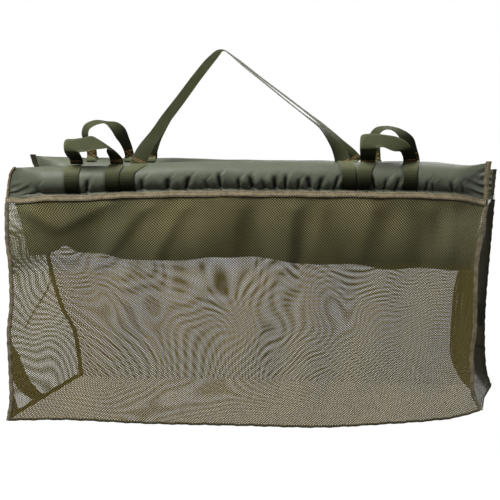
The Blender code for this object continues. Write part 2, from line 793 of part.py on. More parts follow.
def build_side(side, body, handle_body, loop_bodies):
    build_sleeve(side, body)
    build_foam(side, body)
    build_panel(side, body)
    build_seam_binding(side, body)
    for right in (False, True):
        build_edge_binding(side, right, body)
        build_sleeve_end_binding(side, right, body)
    build_anchors(side, body)
    build_handle(side, handle_body)
    _, left, right = leg_places(side)
    build_loop(side, side.name + "_left_loop", left, loop_bodies[0])
    build_loop(side, side.name + "_right_loop", right, loop_bodies[1])


def side_hinges(side, parent):
    """Empties on the axes of the handle and of the two loops of one side."""
    handle, left, right = leg_places(side)
    made = []
    for what, places in (("handle", handle), ("left_loop", left), ("right_loop", right)):
        place = Vector((sum(places) / 2, side.axis_y, HINGE_Z))
        made.append(empty_at(side.name + "_" + what + "_hinge", place, parent))
    return made


def main():
    clear_scene()
    mouth_y = FRONT.y(PANEL_LAYER + CLOTH / 2 + lean(1))
    mouth = empty_at("mouth_hinge", Vector((FRONT.centre_x, mouth_y, BAG_BOTTOM_Z)))
    flap_hinge = empty_at("flap_hinge", Vector((FRONT.centre_x, FRONT.y(0), TAIL_BOTTOM_Z - FLAP_TOP_GAP)), mouth)
    for side, body in ((FRONT, mouth), (REAR, None)):
        handle_hinge, left_hinge, right_hinge = side_hinges(side, body)
        build_side(side, body, handle_hinge, (left_hinge, right_hinge))
    build_flap(flap_hinge)
    build_bottom(None)
    for right in (False, True):
        build_gusset(right, None)
        build_bottom_binding(right, None)


main()
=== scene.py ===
"""The looks of a floating weigh sling: sleeves, mesh bag, webbing, tapes and stitches.

Metres, +Z up. The origin is the hang point, +X runs along the sleeves and -Y faces the camera.
"""
import math

import bpy
import numpy as np
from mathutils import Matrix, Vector


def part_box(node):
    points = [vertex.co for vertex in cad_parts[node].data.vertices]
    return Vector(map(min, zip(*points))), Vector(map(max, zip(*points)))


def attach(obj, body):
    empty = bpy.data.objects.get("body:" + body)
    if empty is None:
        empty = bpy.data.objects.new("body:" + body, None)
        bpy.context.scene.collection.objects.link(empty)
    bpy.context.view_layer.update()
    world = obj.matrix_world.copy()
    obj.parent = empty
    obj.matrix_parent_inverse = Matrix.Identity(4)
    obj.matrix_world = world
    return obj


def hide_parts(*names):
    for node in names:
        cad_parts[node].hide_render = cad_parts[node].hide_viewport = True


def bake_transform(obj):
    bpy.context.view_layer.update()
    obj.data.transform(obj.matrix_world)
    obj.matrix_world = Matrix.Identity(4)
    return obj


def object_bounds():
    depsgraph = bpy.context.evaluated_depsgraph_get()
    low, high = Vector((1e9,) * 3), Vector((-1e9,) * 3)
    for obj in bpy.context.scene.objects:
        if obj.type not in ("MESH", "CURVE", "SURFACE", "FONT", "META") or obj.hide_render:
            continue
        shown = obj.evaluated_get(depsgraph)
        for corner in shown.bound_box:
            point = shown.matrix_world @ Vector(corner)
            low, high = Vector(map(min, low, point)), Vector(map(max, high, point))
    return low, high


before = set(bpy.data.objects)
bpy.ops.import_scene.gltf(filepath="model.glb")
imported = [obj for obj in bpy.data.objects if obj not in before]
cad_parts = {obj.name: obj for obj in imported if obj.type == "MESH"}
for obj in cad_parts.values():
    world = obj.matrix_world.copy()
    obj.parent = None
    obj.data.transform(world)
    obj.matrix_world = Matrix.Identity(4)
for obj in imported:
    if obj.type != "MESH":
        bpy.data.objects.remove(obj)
CAD_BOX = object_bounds()

MM = 0.001

# Camera of the photograph
CAMERA_PLACE = Vector((67 * MM, -3000 * MM, 128 * MM))
CAMERA_PITCH = math.radians(78.04)
CAMERA_LENS = 86.4
SENSOR_WIDTH = 36

# Stage
FLOOR_DROP = 90 * MM
FLOOR_HALF = 14000 * MM
LIT_PLACE = Vector((67 * MM, 0, -450 * MM))

# Sleeves
END_FLAT = 12 * MM
END_FLARE = 78 * MM
END_HALF_THICKNESS = 2.4 * MM
END_DROP = 13 * MM
NECK_ANGLE = math.radians(150)
TAIL_DROP = 14 * MM
TAIL_NECK = 1 * MM
TAIL_HALF_THICKNESS = 1.5 * MM
FOAM_CLEARANCE = 9.5 * MM
SLEEVE_COLUMNS = 520
SLEEVE_ROUND_STEPS = 70
SLEEVE_NECK_STEPS = 6
PUCKER_PITCH = 36 * MM
FRONT_SEED = 11
REAR_SEED = 23
INNER_SEED = 50

# Cloth layers outside the sleeve's tail
GAP = 0.3 * MM
CLOTH = 1.2 * MM
TAPE = 1 * MM
TAPE_WIDTH = 14 * MM
PANEL_LAYER = TAIL_HALF_THICKNESS + GAP + CLOTH / 2
TAPE_LAYER = TAIL_HALF_THICKNESS + GAP + CLOTH + GAP + TAPE / 2
EDGE_TAPE_WIDTH = 11 * MM
SEAM_FORWARD = 21 * MM
TAPE_TILT = 0.32

# Webbing
WEB_WIDTH = 38 * MM
WEB_THICKNESS = 1.6 * MM
WEB_STEP = 3 * MM
LEG_TAPER = 0.12
REAR_LEG_TAPER = 0.34

# Mesh cloth
CELL_WIDTH = 6.8 * MM
CELL_HEIGHT = 6.6 * MM
CELLS_CLOSE = 0.22
UPPER_PART = 188 * MM
PANEL_COLUMNS = 220
PANEL_ROWS = 110
GUSSET_COLUMNS = 48
ON_GUSSET_COLUMNS = 36
ON_GUSSET_ROWS = 12
SEAM_OVERLAP = 2 * MM
SEAM_ALLOWANCE = 13 * MM
BOTTOM_DEPTH = 320 * MM
BOTTOM_Z = -925 * MM
BOTTOM_LIFT = 45 * MM
DRAPE_DEPTH = 10 * MM
FOLD_DEPTH = 75 * MM
DROP_SHARES = (0, 0.15, 0.3, 0.45, 0.6, 0.75, 0.9, 1)
# The two ends, and which way along X is inward there
ENDS = ("left", "right")
INWARD = (1, -1)


def smooth(value):
    held = np.clip(value, 0, 1)
    return held * held * (3 - 2 * held)


def mix(low, high, share):
    return low + (high - low) * share


def bell(value):
    return np.exp(-value ** 2)


def together(*parts):
    """Arrays that share one shape when broadcast, as the columns of one array."""
    return np.stack(np.broadcast_arrays(*parts), -1)


def hermite(places, values, slopes, at):
    """Cubic curve through values at places, with the slopes given there."""
    at = np.clip(at, places[0], places[-1])
    k = np.clip(np.searchsorted(places, at, side="right") - 1, 0, len(places) - 2)
    span = places[k + 1] - places[k]
    t = (at - places[k]) / span
    start = (2 * t ** 3 - 3 * t ** 2 + 1) * values[k] + (t ** 3 - 2 * t ** 2 + t) * span * slopes[k]
    return start + (3 * t ** 2 - 2 * t ** 3) * values[k + 1] + (t ** 3 - t ** 2) * span * slopes[k + 1]


def eased(table, at):
    """Smooth curve through a table of (place, value) pairs that never swings past its values."""
    places, values = np.array(table, float).T
    steps = np.diff(values) / np.diff(places)
    slopes = np.concatenate([steps[:1], np.zeros(len(places) - 2), steps[-1:]])
    same = steps[:-1] * steps[1:] > 0
    slopes[1:-1][same] = 2 / (1 / steps[:-1][same] + 1 / steps[1:][same])
    return hermite(places, values, slopes, at)


def ripple(at, waves):
    """Sum of sine waves given as (length, height, start)."""
    return sum(height * np.sin(2 * np.pi * at / length + start) for length, height, start in waves)


class Side:
    """One long side of the sling, with its measures read from the frame."""

    def __init__(self, name, outward, tables):
        low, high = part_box(name + "_float_sleeve")
        self.name = name
        self.body = name + "_side"
        self.outward = outward
        self.left_x = low.x
        self.right_x = high.x
        self.axis_y = (low.y + high.y) / 2
        self.radius = (high.y - low.y) / 2
        foam_low, foam_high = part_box(name + "_foam_float")
        self.axis_z = (foam_low.z + foam_high.z) / 2
        self.top_z = self.axis_z + self.radius
        self.tail_top_z = self.axis_z - self.radius - TAIL_NECK
        self.tables = tables

    def y(self, distance):
        """Y at a distance outward from the sleeve's middle."""
        return self.axis_y + self.outward * distance

    def pinch(self, x):
        """How far the sleeve is flattened: 1 at its ends, 0 where it is round."""
        from_end = np.minimum(x - self.left_x, self.right_x - x)
        return 1 - smooth((from_end - END_FLAT) / END_FLARE)

    def seam_shift(self, x):
        """How far the seam line lies below its level place."""
        return -END_DROP * self.pinch(x) + eased(self.tables["seam_sag"], x)

    def seam_out(self, x):
        """How far the seam stands outward of the sleeve's middle."""
        return SEAM_FORWARD * (1 - self.pinch(x))

    def seam_z(self, x, lift=0.0):
        """Height of the seam line, at the top of the sleeve's tail."""
        return self.tail_top_z + lift + self.seam_shift(x)

    def crown_z(self, x):
        """Height of the sleeve's top, which sags between its ends."""
        return self.top_z + eased(self.tables["top_sag"], x)

    def edge_x(self, right, drop_share):
        """X of an upright edge of the mesh, at a share of the drop below the seam."""
        table = self.tables[ENDS[right] + "_edge"]
        shift = eased(list(zip(DROP_SHARES, table)), drop_share)
        return (self.right_x if right else self.left_x) + shift

    def end_lean(self, x, height):
        """How far the sleeve's flattened ends lean along X, at a share of the height above the seam."""
        lean_left = eased(self.tables["left_end"], height)
        lean_right = eased(self.tables["right_end"], height)
        near_left = 1 - smooth((x - self.left_x) / END_FLARE)
        near_right = 1 - smooth((self.right_x - x) / END_FLARE)
        return lean_left * near_left + lean_right * near_right

    def bottom_z(self, share):
        return BOTTOM_Z + BOTTOM_LIFT * eased(self.tables["lift"], share)


def scaled(unit, shares):
    return tuple(unit * share for share in shares)


def in_mm(rows):
    return tuple(tuple(value * MM for value in row) for row in rows)


FRONT = Side("front", -1, {
    "seam_sag": in_mm(((-545, -7), (-400, -12), (-220, -3.5), (0, 0), (480, -4), (600, -10), (664, -12))),
    "top_sag": in_mm(((-530, -15), (-400, -12), (-230, -9), (-150, -3), (0, 0), (350, -1), (500, -3),
                      (610, -9), (664, -1))),
    "left_edge": scaled(45 * MM, (-0.38, -0.36, -0.16, -0.1, -0.25, -0.16, -0.1, -0.27)),
    "right_edge": scaled(-45 * MM, (0.05, 0.33, 0.6, 0.67, 0.7, 0.89, 0.86, 0.41)),
    "lift": ((0, 0.4), (0.1, 0.45), (0.3, 0.22), (0.5, 0.1), (0.65, 0), (0.8, 0.2), (0.93, 0.5), (1, 1)),
    "left_end": in_mm(((0, -13), (350, -9), (700, -4), (880, 1), (1000, 8))),
    "right_end": in_mm(((0, -2), (500, -3), (900, 0), (1000, 1))),
    "end_tapes": (5 * MM, 12 * MM),
})
REAR = Side("rear", 1, {
    "seam_sag": in_mm(((-500, 0), (0, -4), (700, -14))),
    "top_sag": in_mm(((-500, 5), (-420, -1), (-170, -3), (-20, -6), (250, -10), (500, -12), (600, -20),
                      (700, -34))),
    "left_edge": scaled(92 * MM, (0.12, 0.17, 0.26, 0.38, 0.57, 0.91, 0.98, 1)),
    "right_edge": scaled(36 * MM, (0, 0, 0, 0, 0.05, 0.2, 0.5, 1)),
    "lift": ((0, 0.62), (0.5, 0.35), (1, 0)),
    "left_end": in_mm(((0, 20), (500, 14), (850, 5), (1000, 1))),
    "right_end": in_mm(((0, -4), (1000, 0))),
    "end_tapes": (12 * MM, 8 * MM),
})
SIDES = (FRONT, REAR)


# Mesh pieces

def new_object(name, points, faces, uvs, material, body=None, uv_faces=None):
    """A mesh piece from points and quads or triangles, with one UV per point or per face corner."""
    mesh = bpy.data.meshes.new(name)
    mesh.from_pydata(np.asarray(points, float).tolist(), [], [tuple(face) for face in faces])
    layer = mesh.uv_layers.new(name="cloth")
    if uv_faces is None:
        corners = np.zeros(len(mesh.loops), int)
        mesh.loops.foreach_get("vertex_index", corners)
        spread = np.asarray(uvs, float)[corners]
    else:
        spread = np.asarray(uv_faces, float).reshape(-1, 2)
    layer.data.foreach_set("uv", spread.ravel())
    mesh.shade_smooth()
    mesh.materials.append(material)
    piece = bpy.data.objects.new(name, mesh)
    bpy.context.scene.collection.objects.link(piece)
    if body:
        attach(piece, body)
    return piece


def quads(grid):
    """The four corners of each cell of a grid, in order round the cell."""
    return np.stack([grid[:-1, :-1], grid[:-1, 1:], grid[1:, 1:], grid[1:, :-1]], 2)


def grid_object(name, grid, uv, material, body=None, turned=False):
    """A mesh piece from a grid of points; turned faces look the other way."""
    faces = quads(np.arange(grid.shape[0] * grid.shape[1]).reshape(grid.shape[:2])).reshape(-1, 4)
    return new_object(name, grid.reshape(-1, 3), faces[:, ::-1] if turned else faces, uv.reshape(-1, 2),
                      material, body)


def stand_in(node):
    """The piece takes the place of a solid, which is hidden."""
    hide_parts(node)


def set_value(piece, name, values):
    """Stores a number at each point, which the piece's material reads."""
    made = piece.data.attributes.new(name, "FLOAT", "POINT")
    made.data.foreach_set("value", np.asarray(values, np.float32).ravel())


def along_curve(points):
    steps = np.linalg.norm(np.diff(points, axis=0), axis=1)
    return np.concatenate([[0], np.cumsum(steps)])


def run_of(edges):
    """How far each row of a strip lies along it, from the places of its two edges, six numbers a row."""
    steps = (np.linalg.norm(np.diff(edges[:, k:k + 3], axis=0), axis=1) for k in (0, 3))
    return np.concatenate([[0], np.cumsum(sum(steps) / 2)])


def strip_rows(edges, step):
    """Rows of a strip: its middle and the vector across it, at an even step between its edges' places."""
    edges = np.asarray(edges, float)
    far = run_of(edges)
    fine = np.linspace(0, far[-1], max(3, int(far[-1] / step) + 1))
    curve = np.stack([hermite(far, edges[:, k], np.gradient(edges[:, k], far), fine) for k in range(6)], -1)
    return np.concatenate([(curve[:, :3] + curve[:, 3:]) / 2, curve[:, 3:] - curve[:, :3]], 1)


def unit(vectors):
    return vectors / np.maximum(np.linalg.norm(vectors, axis=-1, keepdims=True), 1e-9)


# Materials

class Nodes:
    """Short hand for building a material's node tree."""

    def __init__(self, name, roughness, **sockets):
        self.material = bpy.data.materials.new(name)
        self.material.use_nodes = True
        self.tree = self.material.node_tree
        self.shader = self.tree.nodes["Principled BSDF"]
        self.shader.inputs["Roughness"].default_value = roughness
        for socket, value in sockets.items():
            self.shader.inputs[socket.replace("_", " ")].default_value = value
        self.uv = self.node("ShaderNodeUVMap")
        self.uv.uv_map = "cloth"
        self.place = self.node("ShaderNodeTexCoord")

    def node(self, kind, **settings):
        made = self.tree.nodes.new(kind)
        for key, value in settings.items():
            setattr(made, key, value)
        return made

    def put(self, socket, value):
        if isinstance(value, bpy.types.NodeSocket):
            self.tree.links.new(value, socket)
        else:
            socket.default_value = value

    def math(self, operation, a, b=0.0, c=0.0):
        made = self.node("ShaderNodeMath", operation=operation)
        for socket, value in zip(made.inputs, (a, b, c)):
            self.put(socket, value)
        return made.outputs[0]

    def split(self):
        made = self.node("ShaderNodeSeparateXYZ")
        self.put(made.inputs[0], self.uv.outputs[0])
        return made.outputs[0], made.outputs[1]

    def noise(self, scale, detail=3.0, stretch=(1, 1, 1), roughness=0.5, flat=False, start=(0, 0, 0)):
        """Noise over the cloth, in the object's metres or, if flat, in the cloth's own."""
        spread = self.node("ShaderNodeMapping")
        spread.inputs["Scale"].default_value = stretch
        spread.inputs["Location"].default_value = start
        self.put(spread.inputs[0], self.uv.outputs[0] if flat else self.place.outputs["Object"])
        made = self.node("ShaderNodeTexNoise")
        self.put(made.inputs["Vector"], spread.outputs[0])
        made.inputs["Scale"].default_value = scale
        made.inputs["Detail"].default_value = detail
        made.inputs["Roughness"].default_value = roughness
        return made.outputs[0]

    def value(self, name):
        return self.node("ShaderNodeAttribute", attribute_name=name).outputs["Fac"]

    def blend(self, share, low, high):
        made = self.node("ShaderNodeMix", data_type="RGBA")
        self.put(made.inputs[0], share)
        self.put(made.inputs[6], low if isinstance(low, bpy.types.NodeSocket) else (*low, 1))
        self.put(made.inputs[7], high if isinstance(high, bpy.types.NodeSocket) else (*high, 1))
        return made.outputs[2]

    def range(self, value, low, high, to_low=0.0, to_high=1.0):
        made = self.node("ShaderNodeMapRange")
        for socket, number in zip(made.inputs[:5], (value, low, high, to_low, to_high)):
            self.put(socket, number)
        return made.outputs[0]

    def tint(self, base, value, low, high, colour, most=1.0):
        """Base with a colour laid over it, by up to a share, as a value goes from low to high."""
        return self.blend(self.range(value, low, high, 0, most), base, colour)

    def wave(self, along, pitch):
        """Ribs of a pitch: 0 in the grooves, 1 on the crowns."""
        turn = self.math("MULTIPLY", along, 2 * math.pi / pitch)
        return self.math("MULTIPLY_ADD", self.math("SINE", turn), 0.5, 0.5)

    def bump(self, height, distance, strength=1.0, under=None):
        made = self.node("ShaderNodeBump")
        made.inputs["Strength"].default_value = strength
        made.inputs["Distance"].default_value = distance
        self.put(made.inputs["Height"], height)
        if under is not None:
            self.put(made.inputs["Normal"], under)
        return made.outputs[0]

    def finish(self, colour, normal=None, roughness=None, alpha=None):
        self.put(self.shader.inputs["Base Color"], colour)
        if normal is not None:
            self.put(self.shader.inputs["Normal"], normal)
        if roughness is not None:
            self.put(self.shader.inputs["Roughness"], roughness)
        if alpha is not None:
            self.put(self.shader.inputs["Alpha"], alpha)
        return self.material


COATED_DARK, COATED_PALE, COATED_MOTTLE = (0.105, 0.121, 0.084), (0.134, 0.151, 0.108), (0.16, 0.175, 0.13)
COATED_CREASE_SHADE, COATED_RIDGE = (0.02, 0.022, 0.014), (0.21, 0.225, 0.17)
COATED_WEAVE = 0.9 * MM


def coated_cloth():
    """Nylon with a soft coating: fine weave under a satin skin, paler on ridges, darker with painted shade in
    creases.
    """
    made = Nodes("coated_cloth", 0.5, Specular_IOR_Level=0.45, Sheen_Weight=0.06, Sheen_Roughness=0.5)
    u, v = made.split()
    weave = made.math("MULTIPLY", made.wave(u, COATED_WEAVE), made.wave(v, COATED_WEAVE))
    broad = made.noise(9, 3)
    mottle = made.noise(60, 4, roughness=0.6)
    cloth = made.blend(made.range(broad, 0.3, 0.7), COATED_DARK, COATED_PALE)
    cloth = made.tint(cloth, mottle, 0.35, 0.75, COATED_MOTTLE, 0.35)
    # The crease value paints shade into the folds and along the webbing's edges, and pales the ridges
    crease = made.value("crease")
    cloth = made.tint(cloth, crease, 0.1, 1.1, COATED_CREASE_SHADE, 0.85)
    cloth = made.tint(cloth, crease, -0.1, -0.6, COATED_RIDGE, 0.35)
    rough = made.range(mottle, 0.3, 0.7, 0.46, 0.6)
    under = made.bump(made.noise(38, 5, roughness=0.55), 1.4 * MM, 0.5)
    normal = made.bump(weave, 0.12 * MM, 0.35, under)
    return made.finish(cloth, normal, rough)


WEB_DARK, WEB_PALE, WEB_RIB = (0.036, 0.041, 0.018), (0.056, 0.063, 0.029), (0.112, 0.12, 0.066)
WEB_SELVEDGE, WEB_PAINTED_HIGHLIGHT, WEB_PAINTED_SHADE = (0.14, 0.145, 0.085), (0.2, 0.21, 0.125), (0.006, 0.006, 0.002)
RIB_PITCH = 3.7 * MM
WARP_PITCH = 1.45 * MM


def webbing(name, relief):
    """Ribbed polyester webbing: cross ribs, warp ends and a paler selvedge, with painted shade and painted
    highlight.
    """
    made = Nodes(name, 0.62, Specular_IOR_Level=0.08)
    u, v = made.split()
    ribs = made.wave(v, RIB_PITCH)
    ends = made.wave(made.math("ADD", u, made.math("MULTIPLY", ribs, 0.3 * MM)), WARP_PITCH)
    from_middle = made.math("ABSOLUTE", u)
    edge = WEB_WIDTH / 2
    dirt = made.noise(26, 4, roughness=0.6)
    base = made.blend(made.range(dirt, 0.3, 0.72), WEB_DARK, WEB_PALE)
    base = made.tint(base, ribs, 0, 1, WEB_RIB, 0.6)
    base = made.tint(base, from_middle, edge - 2.6 * MM, edge - 0.8 * MM, WEB_SELVEDGE, 0.45)
    # Painted light: positive values paint shade, negative values paint a highlight
    painted_light = made.value("painted_light")
    base = made.tint(base, painted_light, 0, -1, WEB_PAINTED_HIGHLIGHT)
    base = made.tint(base, painted_light, 0, 1, WEB_PAINTED_SHADE, 0.85)
    fuzz = made.noise(900, 2)
    under = made.bump(made.math("MULTIPLY_ADD", ends, 0.3, ribs), 0.6 * MM, 0.7 * relief)
    normal = made.bump(fuzz, 0.25 * MM, 0.3 * relief, under)
    return made.finish(base, normal, made.range(dirt, 0.3, 0.7, 0.56, 0.7))


def scaled_colour(share, colour):
    return tuple(share * part for part in colour)


def tape(name, dark, pale):
    """Woven binding tape: fine ribs across it, rubbed paler where it stands proud and grimy between."""
    made = Nodes(name, 0.85, Specular_IOR_Level=0.2, Sheen_Weight=0.15, Sheen_Roughness=0.5)
    ribs = made.wave(made.split()[1], 1.5 * MM)
    dirt = made.noise(55, 4, roughness=0.65)
    base = made.blend(made.range(dirt, 0.35, 0.65), dark, pale)
    base = made.tint(base, ribs, 0, 1, scaled_colour(1.2, pale), 0.3)
    base = made.tint(base, made.noise(120, 2), 0.56, 0.7, scaled_colour(0.35, dark), 0.45)
    normal = made.bump(ribs, 0.35 * MM, 0.7, made.bump(dirt, 1.2 * MM, 0.4))
    return made.finish(base, normal)


# Colours of the mesh: a painted highlight, painted shade, darker near the flap's hem, and painted shade where
# gathered
MESH_PAINTED_HIGHLIGHT, MESH_PAINTED_SHADE = (0.4, 0.38, 0.21), (0.035, 0.035, 0.014)
MESH_LOW, MESH_GATHERED_SHADE = (0.016, 0.016, 0.005), (0.035, 0.032, 0.012)
PULL_SCALE = 3.2
PULL_STRETCH = (1.5, 0.8, 1)
UPPER_FADE = 15 * MM


def mesh_cloth(name, strand, node, closed, soft=0.1, pull=0.0, skew=0.0, veil=0.0, upper=None):
    """Open knitted mesh: slanting strands that meet in knots painted paler as a highlight, rounded holes
    between.

    The rows are pulled out of line by up to pull, and skewed more and more towards the ends. Fine threads
    cross the holes and cover a share of them, the veil. The upper part of the cloth may have colours of its
    own, with a painted highlight at its right end, painted shade in broad patches, and darker lower down in
    it. The cells are smaller lower down, and "dense" closes them and darkens them with painted shade.
    """
    made = Nodes(name, 0.65, Specular_IOR_Level=0.3, Sheen_Weight=0.1, Sheen_Roughness=0.5)
    u, v = made.split()
    apart = 40 * pull / MM
    across, down = (made.noise(PULL_SCALE, 0.3, stretch=PULL_STRETCH, flat=True, start=start)
                    for start in ((apart, 0, 0), (apart + 7, 3, 0)))
    u = made.math("MULTIPLY_ADD", made.math("SUBTRACT", across, 0.5), pull, u)
    turned = made.math("MULTIPLY", made.math("MULTIPLY", u, skew), made.math("SUBTRACT", v, 0.2))
    v = made.math("ADD", made.math("MULTIPLY_ADD", made.math("SUBTRACT", down, 0.5), pull, v), turned)
    column = made.math("MULTIPLY", u, 2 * math.pi / CELL_WIDTH)
    lower = made.math("MULTIPLY_ADD", made.math("MULTIPLY", v, v), CELLS_CLOSE, v)
    row = made.math("MULTIPLY", lower, 2 * math.pi / CELL_HEIGHT)
    openness = made.math("ADD", made.math("COSINE", made.math("ADD", column, row)),
                         made.math("COSINE", made.math("SUBTRACT", column, row)))
    dense = made.value("dense")
    alpha = made.range(made.math("SUBTRACT", openness, dense), closed + soft, closed - soft, veil)
    # Knots painted paler than the strands, as a highlight
    knot_highlight = made.range(openness, 0.3, -1.9)
    base = made.blend(knot_highlight, strand, node)
    if upper:
        fresh = made.blend(knot_highlight, *upper)
        # A painted highlight towards the right end of the upper part
        fresh = made.tint(fresh, u, 0.42, 0.5, MESH_PAINTED_HIGHLIGHT, 0.62)
        shade = made.noise(5, 1.5, stretch=(1.5, 1, 0.7), start=(2, 0, 0))
        # Painted shade in broad soft patches, standing in for folds
        fresh = made.tint(fresh, shade, 0.58, 0.4, MESH_PAINTED_SHADE, 0.5)
        fresh = made.tint(fresh, v, 0.4 * UPPER_PART, 0.9 * UPPER_PART, MESH_LOW, 0.65)
        base = made.blend(made.range(v, UPPER_PART - UPPER_FADE, UPPER_PART + UPPER_FADE), fresh, base)
    broad = made.noise(5.5, 2, stretch=(1.3, 1, 0.45))
    dirt = made.noise(18, 3, roughness=0.6)
    base = made.tint(base, broad, 0.62, 0.3, scaled_colour(0.6, strand), 0.5)
    base = made.tint(base, dirt, 0.5, 0.8, scaled_colour(0.75, strand), 0.35)
    # Painted shade where the cloth is gathered
    base = made.tint(base, dense, 0.5, 1.6, MESH_GATHERED_SHADE, 0.65)
    normal = made.bump(made.math("MULTIPLY", openness, -0.5), 1 * MM, 0.7)
    return made.finish(base, normal, alpha=alpha)


# Lining colours: its own dark tone, deepened with painted shade
FLAP_DARK, FLAP_PALE, FLAP_WEAVE = (0.008, 0.008, 0.0035), (0.017, 0.017, 0.008), (0.024, 0.024, 0.012)


def flap_cloth():
    """Close woven lining cloth, matt, its dark colour deepened with painted shade."""
    made = Nodes("flap_cloth", 0.8, Specular_IOR_Level=0.2, Sheen_Weight=0.05, Sheen_Roughness=0.5)
    u, v = made.split()
    weave = made.math("MULTIPLY", made.wave(u, 1.1 * MM), made.wave(v, 1.1 * MM))
    base = made.blend(made.range(made.noise(14, 4), 0.3, 0.7), FLAP_DARK, FLAP_PALE)
    base = made.tint(base, weave, 0, 1, FLAP_WEAVE, 0.3)
    return made.finish(base, made.bump(weave, 0.2 * MM, 0.5))


def thread(name, colour):
    """Twisted sewing thread."""
    made = Nodes(name, 0.6, Specular_IOR_Level=0.35)
    twist = made.noise(1400, 2)
    base = made.blend(made.range(twist, 0.35, 0.65), scaled_colour(0.6, colour), colour)
    return made.finish(base, made.bump(twist, 0.2 * MM, 0.4))


FOAM_CELLS_A_METRE = 700
FOAM_DARK, FOAM_PALE = (0.6, 0.6, 0.56), (0.78, 0.78, 0.74)


def foam():
    """Closed cell foam with a cut skin."""
    made = Nodes("foam", 0.9)
    cells = made.node("ShaderNodeTexVoronoi")
    made.put(cells.inputs["Vector"], made.place.outputs["Object"])
    cells.inputs["Scale"].default_value = FOAM_CELLS_A_METRE
    base = made.blend(made.range(cells.outputs[0], 0, 0.6), FOAM_DARK, FOAM_PALE)
    return made.finish(base, made.bump(cells.outputs[0], 0.5 * MM, 0.6))


def floor_paper():
    """White paper that is lit from below, as a cut out product picture has it."""
    made = Nodes("floor_paper", 1, Specular_IOR_Level=0, Emission_Strength=1)
    grain = made.noise(3, 3)
    made.put(made.shader.inputs["Emission Color"], (1, 1, 1, 1))
    return made.finish(made.blend(grain, (0.02, 0.02, 0.02), (0.03, 0.03, 0.03)))


COATED = coated_cloth()
WEBBING = webbing("webbing", 1)
SMOOTH_WEBBING = webbing("smooth_webbing", 0.08)
BINDING = tape("binding_tape", (0.2, 0.166, 0.104), (0.35, 0.293, 0.192))
DARK_BINDING = tape("dark_binding_tape", (0.022, 0.02, 0.012), (0.05, 0.045, 0.028))
EDGE_BINDING = tape("edge_binding_tape", (0.095, 0.082, 0.05), (0.25, 0.215, 0.14))
OLIVE_SEAM = tape("olive_seam", (0.05, 0.046, 0.02), (0.1, 0.092, 0.042))
# One mesh cloth coloured five ways: rear and left walls paler as painted light, right wall and tuck darker as
# painted shade
FRONT_MESH = mesh_cloth("front_mesh_cloth", (0.13, 0.1, 0.014), (0.155, 0.122, 0.02), 0.52, 0.04, 9 * MM,
                        upper=((0.024, 0.023, 0.009), (0.56, 0.535, 0.25)))
REAR_MESH = mesh_cloth("rear_mesh_cloth", (0.5, 0.33, 0.06), (0.58, 0.4, 0.09), -0.25, 0.3, 34 * MM,
                       skew=1.05, veil=0.34)
LEFT_MESH = mesh_cloth("left_mesh_cloth", (0.3, 0.225, 0.05), (0.4, 0.31, 0.09), -0.3, pull=16 * MM)
RIGHT_MESH = mesh_cloth("right_mesh_cloth", (0.04, 0.035, 0.011), (0.24, 0.21, 0.07), 0.7, pull=12 * MM)
TUCK_MESH = mesh_cloth("folded_mesh_cloth", (0.008, 0.007, 0.003), (0.03, 0.028, 0.012), 1.9, pull=6 * MM)
FLAP = flap_cloth()
TAN_THREAD = thread("tan_thread", (0.72, 0.42, 0.15))
RUST_THREAD = thread("rust_thread", (0.085, 0.055, 0.028))
FOAM = foam()


# Sleeves

FRONT_VALLEYS = (
    # X of the deep folds along the front seam, in millimetres, and each one's share of the deepest
    (-484, 0.25), (-455, 0.35), (-338, 0.8), (-201, 0.6), (-137, 0.8), (-92, 0.85), (-38, 0.4), (-5, 1),
    (40, 0.7), (75, 0.9), (103, 0.4), (129, 0.9), (154, 0.8), (184, 0.6), (216, 0.9), (236, 0.7), (273, 0.7),
    (375, 0.8), (397, 0.5), (424, 0.7), (499, 0.5), (519, 0.4), (568, 0.5), (593, 0.4),
)


def make_puckers(side, sign, seed):
    """Folds that fan up from the seam, where the sleeve's cloth is gathered into it."""
    draw = np.random.default_rng(seed)
    if side is FRONT and sign > 0:
        places = [(x * MM, share) for x, share in FRONT_VALLEYS]
    else:
        steps = PUCKER_PITCH * draw.uniform(0.6, 1.6, 60)
        places = [(x, draw.uniform(0.3, 1)) for x in side.left_x + 60 * MM + np.cumsum(steps)
                  if x < side.right_x - 60 * MM]
    return [{
        "x": x,
        "width": draw.uniform(4, 7.4) * MM,
        "reach": 0.42 + 0.2 * share + draw.uniform(-0.05, 0.05),
        "slant": draw.uniform(-24, 34) * MM,
        "depth": 8.5 * MM * share,
        "wrinkle": draw.uniform(0.3, 1.4) * MM,
        "belly": draw.uniform(-2.5, 3) * MM,
    } for x, share in places]


